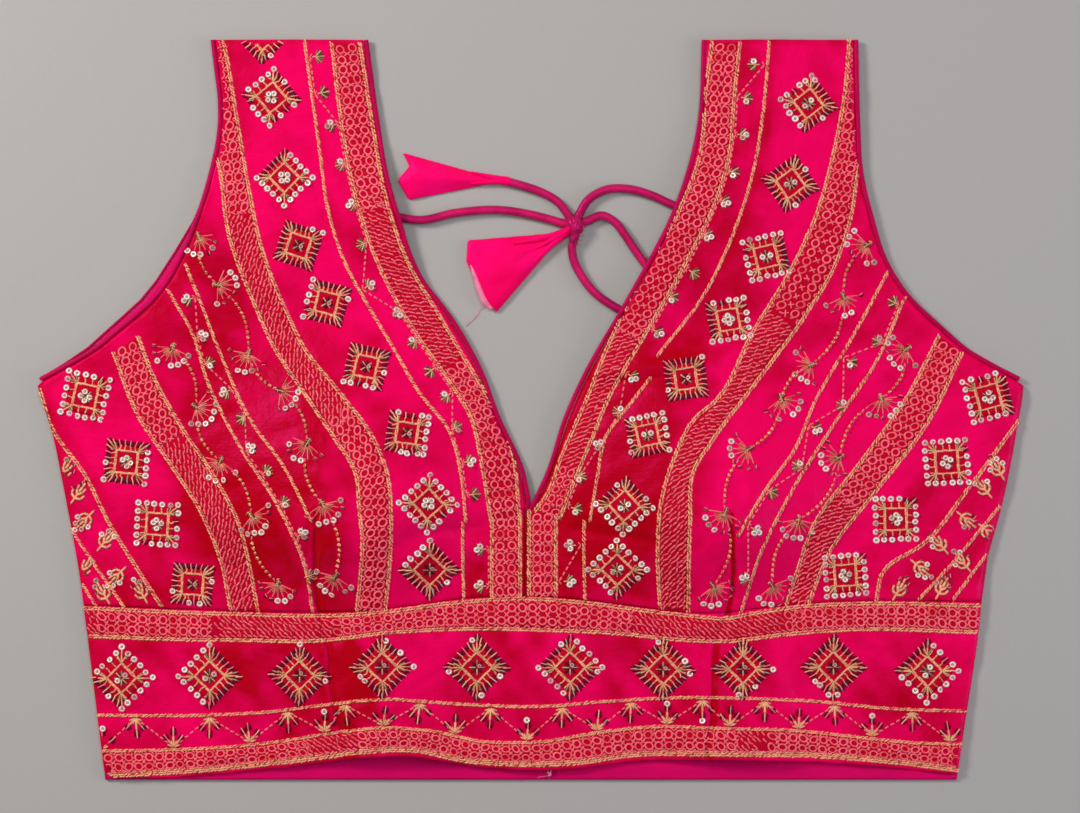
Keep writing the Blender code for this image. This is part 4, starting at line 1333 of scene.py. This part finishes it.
def open_top(node, least_up=0.3):
    """A new mesh object from the faces of a node that look up, merged and made of quads."""
    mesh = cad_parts[node].data.copy()
    obj = linked(node + "_satin", mesh)
    select(obj)
    bpy.ops.object.mode_set(mode="EDIT")
    bpy.ops.mesh.select_all(action="SELECT")
    bpy.ops.mesh.remove_doubles(threshold=0.00002)
    bpy.ops.mesh.select_mode(type="FACE")
    bpy.ops.object.mode_set(mode="OBJECT")
    for face in mesh.polygons:
        face.select = face.normal.z < least_up
    bpy.ops.object.mode_set(mode="EDIT")
    bpy.ops.mesh.delete(type="FACE")
    bpy.ops.mesh.select_all(action="SELECT")
    bpy.ops.mesh.tris_convert_to_quads(face_threshold=math.radians(70), shape_threshold=math.radians(120))
    bpy.ops.object.mode_set(mode="OBJECT")
    return obj


def boundary_places(mesh):
    """The points of a mesh's open edges, in mm."""
    used = np.zeros(len(mesh.edges), int)
    corners = np.empty(len(mesh.loops), np.int32)
    mesh.loops.foreach_get("edge_index", corners)
    np.add.at(used, corners, 1)
    ends = np.empty(len(mesh.edges) * 2, np.int32)
    mesh.edges.foreach_get("vertices", ends)
    rim = np.unique(ends.reshape(-1, 2)[used == 1])
    return mesh_points(mesh)[rim, :2] / MM


class BLOUSE_OT_front(bpy.types.Operator):
    """Make the satin of the front: both upper halves and the waist piece, with cups, darts and folds"""

    bl_idname = "blouse.front"
    bl_label = "Front"
    # Depths and reaches in mm of what sewing does to the cloth.
    stitch_reach = 2.6
    pucker_depth, pucker_reach = 0.28, 5.0
    dart_depth, dart_reach = 1.2, 1.5
    rim_depth, rim_reach = 0.35, 1.3
    # The rim isn't drawn down this near to the waist seam, in mm.
    seam_reach = 9.0
    # The painted light on flat cloth, what facing right (painted sheen), upwards (painted shade) and out adds
    # to it, and its least and most.
    nap_flat, nap_slopes, nap_range = 0.55, (1.3, -0.5, 0.0), (-0.3, 1.2)
    # How much painted shade a dart puts along its line, and over how many mm.
    dart_shade, dart_shade_reach = 1.2, 1.3

    def execute(self, context):
        sizes = context.scene.blouse_cloth
        cloth = satin("front_satin", sizes.satin, sizes.satin_shade, 0.42, with_painted_light=True)
        darts = seam_places((*BUST_DARTS, CENTRE_SEAM))
        seams = seam_places((*BUST_DARTS, CENTRE_SEAM, WAIST_LINES["band_top"]))
        sewn = seam_places([line for lines, *_ in LAYOUT.values() for line in lines.values()], 1.5)
        made = []
        for node in FRONTS:
            obj = open_top(node)
            levels = sizes.fineness + (1 if node == "front_waist" else 0)
            apply_modifier(obj, "SUBSURF", levels=levels, render_levels=levels,
                           boundary_smooth="PRESERVE_CORNERS")
            self.shape(obj.data, sizes.pull / MM, sewn, seams, darts)
            made.append(obj)
        MADE["surface"] = Surface(made)
        for obj, (node, flat) in zip(made, FRONTS.items()):
            apply_modifier(obj, "SOLIDIFY", thickness=sizes.thickness, offset=-1.0)
            finish_piece(obj, cloth, node)
        return {"FINISHED"}

    def shape(self, mesh, pull, sewn, seams, darts):
        """Folds the cloth, draws it down at its stitches, seams and rim, and paints sheen and shade into its
        colour by slope, patches and darts.
        """
        points = mesh_points(mesh)
        flat = points[:, :2] / MM
        x, y = flat.T
        from_dart = distances(flat, darts)
        rise = fold_heights(x, y) - pull * bell(distances(flat, sewn), self.stitch_reach)
        pucker = self.pucker_depth * np.sin(x * 0.9 + 2.0 * np.sin(y * 0.13))
        pucker *= bell(distances(flat, seams), self.pucker_reach)
        rise += pucker - self.dart_depth * bell(from_dart, self.dart_reach)
        rim = np.where(np.abs(y - WAIST_SEAM) < self.seam_reach, 0.0, self.rim_depth)
        rise -= rim * bell(distances(flat, boundary_places(mesh)), self.rim_reach)
        room = np.maximum(points[:, 2] / MM - BACK_TOP, 0.0)
        points[:, 2] += np.maximum(rise, -room) * MM
        move_points(mesh, points)
        # Painted light: slopes facing right get a pink painted sheen, upward ones and the darts a red painted
        # shade, plus the listed patches.
        normals = np.empty(len(mesh.vertices) * 3, np.float32)
        mesh.vertex_normals.foreach_get("vector", normals)
        turn = self.nap_flat + normals.reshape(-1, 3) @ np.array(self.nap_slopes) + painted_light_shift(x, y)
        turn = np.clip(turn - self.dart_shade * bell(from_dart, self.dart_shade_reach), *self.nap_range)
        mesh.attributes.new("nap", "FLOAT", "POINT").data.foreach_set("value", turn.astype(np.float32))


def slab_outline(node):
    """The outline of a flat node's top face, as pairs of ends, in mm."""
    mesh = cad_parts[node].data
    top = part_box(node)[1].z / MM
    points = np.round(mesh_points(mesh) / MM, 3)
    sides = set()
    for face in mesh.polygons:
        corners = points[list(face.vertices)]
        if (np.abs(corners[:, 2] - top) < 0.05).all():
            places = [tuple(corner) for corner in corners[:, :2]]
            sides.update(zip(places, places[1:] + places[:1]))
    return np.array([(*start, *end) for start, end in sorted(sides - {(end, start) for start, end in sides})])


def span_at(outline, height):
    """The least and greatest across where an outline crosses a height."""
    x0, y0, x1, y1 = outline.T
    crossing = (np.minimum(y0, y1) <= height) & (np.maximum(y0, y1) >= height) & (np.abs(y1 - y0) > 1e-6)
    share = (height - y0[crossing]) / (y1 - y0)[crossing]
    across = x0[crossing] + share * (x1 - x0)[crossing]
    return across.min(), across.max()


def new_grid(columns, rows):
    """A flat grid with these divisions, its points, and each point's share across and up."""
    select()
    bpy.ops.mesh.primitive_grid_add(x_subdivisions=columns, y_subdivisions=rows, size=2.0)
    points = mesh_points(bpy.context.object.data)
    return bpy.context.object, (points[:, 0] + 1) / 2, (points[:, 1] + 1) / 2


class BLOUSE_OT_back(bpy.types.Operator):
    """Make the plain satin of the two back halves, with their turned hem and centre closure"""

    bl_idname = "blouse.back"
    bl_label = "Back"
    # In mm: the height of the cloth, the width of its turned hem, where that is stitched, how deep and
    # how far the stitching draws the cloth, and the rim under it that lies flat.
    top, turned_hem, hem_stitch, stitch_depth, stitch_reach, flat_rim = 1.45, 12.0, 9.0, 0.3, 1.2, 3.0
    # Divisions across, up the cloth and up its hem, and how far in mm the grid keeps from the ends.
    columns, rows, hem_rows, inset = 40, 90, 10, 0.02

    def execute(self, context):
        sizes = context.scene.blouse_cloth
        cloth = satin("back_satin", sizes.plain, dimmed(sizes.plain, 0.82), 0.5)
        for node in ("back_left", "back_right"):
            obj = self.panel(node)
            finish_piece(obj, cloth, node)
        ends = [(end, (0.5, 0.45, 0.2)) for end in CLOSURE_ENDS]
        tuft = tubes("closure_thread", [*ends, (CLOSURE_LOOSE, 0.14)])
        finish_piece(tuft, pale_thread())
        dressed(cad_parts["back_hook_placket"].data, cloth)
        return {"FINISHED"}

    def panel(self, node):
        """A back half from its solid's outline, with a finer grid at its turned hem."""
        outline = slab_outline(node)
        low, high = outline[:, (1, 3)].min() + self.inset, outline[:, (1, 3)].max() - self.inset
        fold = low + self.turned_hem
        fine, coarse = np.linspace(low, fold, self.hem_rows)[:-1], np.linspace(fold, high, self.rows)
        heights = np.concatenate([fine, coarse])
        obj, share, up = new_grid(self.columns, len(heights) - 1)
        obj.name = node + "_satin"
        row = np.rint(up * (len(heights) - 1)).astype(int)
        spans = np.array([span_at(outline, height) for height in heights])
        x = spans[row, 0] * (1 - share) + spans[row, 1] * share
        y = heights[row]
        hem = bell(y - low - self.hem_stitch, self.stitch_reach) * self.stitch_depth
        wave = 0.12 * np.sin(x / 9.0 + np.sin(y / 23.0)) + 0.1 * np.sin(y / 14.0 + x / 41.0)
        z = self.top - hem + wave * (y > low + self.flat_rim)
        move_points(obj.data, np.column_stack([x, y, z]) * MM)
        apply_modifier(obj, "SOLIDIFY", thickness=0.0009, offset=-1.0)
        return obj


def centre_of_tube(node, ring_gap=2.2):
    """The middle of each ring of a CAD tube that climbs along +Y, in mm, from low to high."""
    points = mesh_points(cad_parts[node].data) / MM
    points = points[np.argsort(points[:, 1])]
    breaks = np.flatnonzero(np.diff(points[:, 1]) > ring_gap) + 1
    return np.array([group.mean(axis=0) for group in np.split(points, breaks)])


class BLOUSE_OT_piping(bpy.types.Operator):
    """Make the piped edges of the neck and the armholes"""

    bl_idname = "blouse.piping"
    bl_label = "Piping"
    radius, sunk = 1.22, 0.45

    def execute(self, context):
        sizes = context.scene.blouse_cloth
        cloth = satin("piping_satin", sizes.piping, dimmed(sizes.piping, 0.8), 0.45, patch=60.0)
        for edge in ("neck", "armhole"):
            for side in ("left", "right"):
                node = f"piping_{edge}_{side}"
                places = centre_of_tube(node)[:, :2]
                if edge == "neck":
                    places = np.concatenate([[NECK_ENDS[side]], places])
                line = smooth_line(places, 2.0)
                ripple = 0.08 * np.sin(np.arange(len(line)) * 0.8)
                heights = MADE["surface"].at(*line.T) - self.sunk + ripple
                obj = tubes(node + "_satin", [(np.column_stack([line, heights]), self.radius)])
                finish_piece(obj, cloth, node)
                dressed(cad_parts[f"piping_back_{edge}_{side}"].data, cloth)
        return {"FINISHED"}


# ---------------------------------------------------------------- embroidery operators
def regions():
    """The needlework of the three regions, made once."""
    if "regions" not in MADE:
        MADE["regions"] = {region: Needlework(seed) for region, seed in SEEDS.items()}
    return MADE["regions"]


class BLOUSE_OT_lines_and_bands(bpy.types.Operator):
    """Lay out the zari lines and the bands of net work"""

    bl_idname = "blouse.lines_and_bands"
    bl_label = "Lines and bands"
    # Widths of a line in mm.
    thin, usual, hem = 1.5, 2.15, 3.0

    def execute(self, context):
        pitch = context.scene.blouse_needlework.stitch_pitch / MM
        for region, (lines, bands, *_) in LAYOUT.items():
            work = regions()[region]
            for name, places in lines.items():
                width = self.thin if name in THIN_LINES else self.usual
                zari_line(work, places, self.hem if name == "hem" else width, pitch)
            for inner, outer, zones, slant in bands:
                net_band(work, lines[inner], lines[outer], zones, slant)
        return {"FINISHED"}


class BLOUSE_OT_motifs(bpy.types.Operator):
    """Lay out the medallions, fans, chains and vines"""

    bl_idname = "blouse.motifs"
    bl_label = "Motifs"
    # A medallion's gold square as a share of its size, and how far a chain bows as a share of its length.
    frame_share, waist_frame_share, bow = 0.52, 0.46, 0.14
    # How far in mm a hem flower stands off its line.
    off_line = 1.4

    def execute(self, context):
        size = context.scene.blouse_needlework.sequin / MM
        for region, (lines, _, medallions, fans, vines, sprigs) in LAYOUT.items():
            work = regions()[region]
            share = self.waist_frame_share if region == "waist" else self.frame_share
            for row in medallions:
                medallion(work, *row, size, share)
            for index, row in enumerate(fans):
                fan(work, *row, size)
                if index not in ROW_STARTS:
                    chain(work, fans[index - 1], row, self.bow * (-1) ** index)
            for first, second, flowers in vines:
                vine(work, lines[first], lines[second], flowers, size)
            for row in sprigs:
                sprig(work, *row, size)
        self.hem_vine(regions()["waist"], size)
        return {"FINISHED"}

    def hem_vine(self, work, size):
        """Flowers in turn on the lower line and under the upper one, joined by dashes."""
        top, low = smooth_line(WAIST_LINES["vine_top"]), smooth_line(WAIST_LINES["vine_low"])
        before = None
        for x, way in HEM_VINE:
            line = low if way > 0 else top
            place = x, float(np.interp(x, *line.T)) + way * self.off_line
            hem_flower(work, *place, way, size)
            if before is not None:
                dashes(work, before, place)
            before = place


class BLOUSE_OT_needlework(bpy.types.Operator):
    """Sew the laid out stitches, rings, leaves, sequins and beads onto the cloth"""

    bl_idname = "blouse.needlework"
    bl_label = "Needlework"

    def execute(self, context):
        colours = context.scene.blouse_needlework
        gold = thread("gold_zari", colours.gold, (0.46, 0.045, 0.02), 0.42)
        coral = thread("coral_thread", colours.coral, (0.80, 0.06, 0.08), 0.5)
        leaf = thread("leaf_thread", colours.leaf, (0.05, 0.022, 0.010), 0.42, 0.3)
        bead = thread("gold_bead", (0.95, 0.50, 0.22), (0.85, 0.22, 0.18), 0.25, 0.4)
        knot = thread("sequin_knot", (0.56, 0.44, 0.34), (0.15, 0.002, 0.022), 0.5, 0.0, (1.0, 0.08, 0.2))
        ground_and_shade = ground_and_shade_material(colours.ground_and_shade, dimmed(colours.ground_and_shade, 0.7))
        stitches, beads = stitch_form(), bead_form()
        kinds = {
            # kind: form, material, slot, the cloth's reach past a form's place in mm
            "zari": (stitches, gold, "gold_zari", 0),
            "coral": (stitches, coral, "coral_thread", 1),
            "rings": (torus_form(0.40, 0.10), coral, "coral_thread", 2),
            "leaves": (stitches, leaf, "gold_zari", 1),
            "sequins": (torus_form(0.32, 0.18, 0.24), sequin_material(), "sequins", 1),
            "dots": (beads, knot, "gold_zari", 1),
            "beads": (beads, bead, "gold_zari", 1),
        }
        for region, work in regions().items():
            # Strips of stitched ground and painted shade, one piece for each region.
            strips = [ribbon(*sides) for sides in work.ground_and_shade_strips]
            join_ground_and_shade(f"ground_{region}", strips, ground_and_shade)
            for kind, (form, material, slot, margin) in kinds.items():
                if work.rows[kind]:
                    join_forms(f"{kind}_{region}", form, work.rows[kind], material, margin)
        return {"FINISHED"}


# ---------------------------------------------------------------- tie operators
def cord_curve(name, places, diameter, material):
    """A cord along its route, as a curve of one open spline, and its length."""
    line = smooth_line(places, 1.2)
    curve = new_curve(name, diameter / 2, 5)
    add_spline(curve, np.column_stack([line, np.full(len(line), CORD_HEIGHT)]))
    curve.materials.append(material)
    obj = linked(name, curve)
    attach(obj, "root")
    return obj, float(run_along(line)[-1]) * MM


def latkan(node, material, folds, gathers):
    """A puffed triangle of cloth from its solid's outline, folded, and gathered to its cord's end."""
    rim_height, puff_rise, puff_reach, least_height = 1.3, 3.0, 5.0, 0.6
    obj = linked(node + "_satin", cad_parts[node].data.copy())
    apply_modifier(obj, "WELD", merge_threshold=0.00002)
    apply_modifier(obj, "REMESH", mode="VOXEL", voxel_size=0.0009)
    points = mesh_points(obj.data)
    flat = points[:, :2] / MM
    rim = [(x0 + (x1 - x0) * t, y0 + (y1 - y0) * t)
           for x0, y0, x1, y1 in slab_outline(node) for t in np.linspace(0, 1, 30)]
    z = points[:, 2] / MM
    share = np.clip((z - z.min()) / (z.max() - z.min()), 0, 1)
    puff = rim_height + puff_rise * (1 - np.exp(-distances(flat, rim) / puff_reach))
    puff += creased(*flat.T, folds)
    points[:, 2] = (z.min() + share * np.maximum(puff, least_height)) * MM
    move_points(obj.data, points)
    apply_modifier(obj, "SMOOTH", factor=0.5, iterations=7)
    obj = joined(obj, tubes(node + "_gathers", gathers, 4))
    return finish_piece(obj, material, node)


class BLOUSE_OT_tie(bpy.types.Operator):
    """Make the dori of the open back: its spans, bow, knot and the two latkans"""

    bl_idname = "blouse.tie"
    bl_label = "Tie"

    def execute(self, context):
        sizes = context.scene.blouse_tie
        # The cord's darker colour is painted shade on its round sides, and random patches.
        cord = satin("dori_satin", sizes.colour, dimmed(sizes.colour, 0.45), 0.32, patch=60.0, shine=1.0,
                     painted_side_shade=True)
        cloth = satin("latkan_satin", sizes.latkan, (0.92, 0.001, 0.085), 0.45, patch=34.0)
        knot = self.knot(cord, sizes.diameter / MM / 2)
        latkan("latkan_lower", cloth, LOWER_FOLDS, LOWER_GATHERS)
        upper = latkan("latkan_upper", cloth, UPPER_FOLDS, UPPER_GATHERS)
        lining = tubes("latkan_lower_lining", LINING_EDGE, 3)
        finish_piece(lining, pale_thread())
        pieces = (
            # node, route, its far end, pieces at its ends, the place where it leaves
            ("dori_right_span", RIGHT_SPAN, "knot", [knot], RIGHT_SPAN[0]),
            ("dori_bow_loop", BOW_LOOP, "object", [], BOW_LOOP[0]),
            ("dori_left_span", LEFT_SPAN[::-1], "knot", [], LEFT_SPAN[-1]),
            ("dori_upper_tail", UPPER_TAIL, "fitting", [upper], UPPER_TAIL[0]),
        )
        for node, places, far_end, with_pieces, start in pieces:
            obj, length = cord_curve(node + "_cord", places, sizes.diameter, cord)
            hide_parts(node)
        return {"FINISHED"}

    def knot(self, material, radius):
        """A cord wound twice round the crossing, the cords' ends going in, and the flap of a loose end."""
        low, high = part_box("dori_knot")
        x0, y0, z0 = (low + high) / 2 / MM
        turns, lean = np.linspace(-0.15, 2.4, 64), math.radians(22.0)
        spacing, half_width, half_height = 1.75, 2.95, 1.4
        along, aside = spacing * (turns - 1.12), half_width * np.cos(math.tau * turns)
        rise = half_height * np.sin(math.tau * turns)
        wraps = np.column_stack([*turned(x0, y0, lean, along, aside), z0 + rise])
        runs = [(wraps, radius * (0.88 + 0.06 * np.sin(turns * 5)))]
        ends = (RIGHT_SPAN[-2:], BOW_LOOP[1::-1], BOW_LOOP[-2:], LEFT_SPAN[1::-1], UPPER_TAIL[1::-1])
        for before, end in np.array(ends):
            back = end + (before - end) / np.linalg.norm(before - end) * 1.2
            places = [(*back, CORD_HEIGHT), (*end, CORD_HEIGHT),
                      (*(end * 0.55 + np.array((x0, y0)) * 0.45), 2.7), (x0, y0, z0)]
            runs.append((places, (radius * 1.03, radius * 1.04, radius * 0.96, radius * 0.9)))
        for fray in KNOT_FRAYS:
            runs.append(([(x, y, 5.2 - 0.5 * step) for step, (x, y) in enumerate(fray)], 0.12))
        flap = self.flap()
        obj = joined(tubes("dori_knot_wraps", runs, 5), flap)
        return finish_piece(obj, material, "dori_knot")

    def flap(self):
        """The flattened loose end of the cord, hanging over the knot onto the loop."""
        low, length = 83.6, 11.6
        obj, across, share = new_grid(7, 20)
        across = across * 2 - 1
        middle_x = np.interp(share, (0.0, 0.3, 0.7, 1.0), (21.2, 22.2, 22.6, 23.0))
        middle_y = low + length * share
        middle_z = np.interp(share, (0.0, 0.25, 0.5, 0.75, 1.0), (4.7, 5.3, 6.6, 7.0, 5.6))
        half = np.interp(share, (0.0, 0.25, 0.7, 1.0), (1.5, 2.3, 2.2, 1.3))
        ragged = 0.25 * np.sin(share * 41.0) * (across > 0.9) * (share < 0.45)
        frayed = 0.4 * np.sin(across * 5) * (share < 0.1)
        move_points(obj.data, np.column_stack([
            middle_x + across * half + ragged, middle_y + across * 0.7 + frayed,
            middle_z + 0.45 * np.cos(across * 4.2) + 0.15 * np.sin(share * 14.0)]) * MM)
        apply_modifier(obj, "SOLIDIFY", thickness=0.0006, offset=0.0)
        return obj


# ---------------------------------------------------------------- stage
class BLOUSE_OT_stage(bpy.types.Operator):
    """Set the plain floor, the soft lights and the camera over the blouse"""

    bl_idname = "blouse.stage"
    bl_label = "Stage"
    # The floor's size and the gap over it in metres, and the strength of the room's light.
    floor_size, gap, room_light = 6.0, 0.0002, 0.26

    def execute(self, context):
        sizes = context.scene.blouse_studio
        select()
        bpy.ops.mesh.primitive_plane_add(size=self.floor_size, location=(0.0, 0.0, -self.gap))
        floor = context.object
        floor.name = "floor"
        dressed(floor.data, floor_material(sizes.floor))
        lights = (
            # name, place, size, energy, colour
            ("key", (-1.05, 0.70, 0.95), 0.4, 17.0, (1.0, 0.93, 0.86)),
            ("side", (1.30, -0.10, 0.50), 0.6, 6.0, (0.90, 0.78, 1.0)),
            ("top", (0.1, 0.2, 1.9), 1.0, 7.5, (1.0, 0.98, 0.96)),
            ("glint", (0.35, 0.65, 1.5), 0.07, 2.2, (1.0, 0.97, 0.92)),
        )
        for name, place, size, energy, colour in lights:
            data = bpy.data.lights.new(name, "AREA")
            data.size, data.energy, data.color = size, energy, colour
            lamp = linked(name, data)
            lamp.location = place
            lamp.rotation_euler = (-Vector(place)).to_track_quat("-Z", "Y").to_euler()
        world = bpy.data.worlds.new("soft_room")
        world.use_nodes = True
        background = world.node_tree.nodes["Background"]
        background.inputs["Color"].default_value = (0.75, 0.78, 0.82, 1.0)
        background.inputs["Strength"].default_value = self.room_light
        context.scene.world = world
        context.scene.view_settings.view_transform = "Standard"
        data = bpy.data.cameras.new("camera")
        data.sensor_width = 36.0
        data.lens = sizes.lens
        camera = linked("camera", data)
        camera.location = (*CAMERA_PLACE, sizes.camera_height)
        context.scene.camera = camera
        return {"FINISHED"}


GROUPS = {
    "blouse_cloth": BlouseCloth, "blouse_needlework": BlouseNeedlework, "blouse_tie": BlouseTie,
    "blouse_studio": BlouseStudio,
}
OPERATORS = (
    BLOUSE_OT_stage, BLOUSE_OT_tie, BLOUSE_OT_front, BLOUSE_OT_back, BLOUSE_OT_piping,
    BLOUSE_OT_lines_and_bands, BLOUSE_OT_motifs, BLOUSE_OT_needlework,
)


class BLOUSE_PT_panel(bpy.types.Panel):
    """Lists the pieces of the blouse"""

    bl_label = "Choli blouse"
    bl_idname = "BLOUSE_PT_panel"
    bl_space_type = "VIEW_3D"
    bl_region_type = "UI"
    bl_category = "Blouse"

    def draw(self, context):
        for name, group in GROUPS.items():
            for setting in group.__annotations__:
                self.layout.prop(getattr(context.scene, name), setting)
        for operator in OPERATORS:
            self.layout.operator(operator.bl_idname)


CLASSES = (*GROUPS.values(), *OPERATORS, BLOUSE_PT_panel)


def register():
    for kind in CLASSES:
        bpy.utils.register_class(kind)
    for name, group in GROUPS.items():
        setattr(bpy.types.Scene, name, PointerProperty(type=group))


def unregister():
    for name in GROUPS:
        delattr(bpy.types.Scene, name)
    for kind in reversed(CLASSES):
        bpy.utils.unregister_class(kind)


def main():
    register()
    bpy.ops.blouse.stage()
    bpy.ops.blouse.tie()
    bpy.ops.blouse.front()
    bpy.ops.blouse.back()
    bpy.ops.blouse.piping()
    bpy.ops.blouse.lines_and_bands()
    bpy.ops.blouse.motifs()
    bpy.ops.blouse.needlework()


if __name__ == "__main__":
    main()
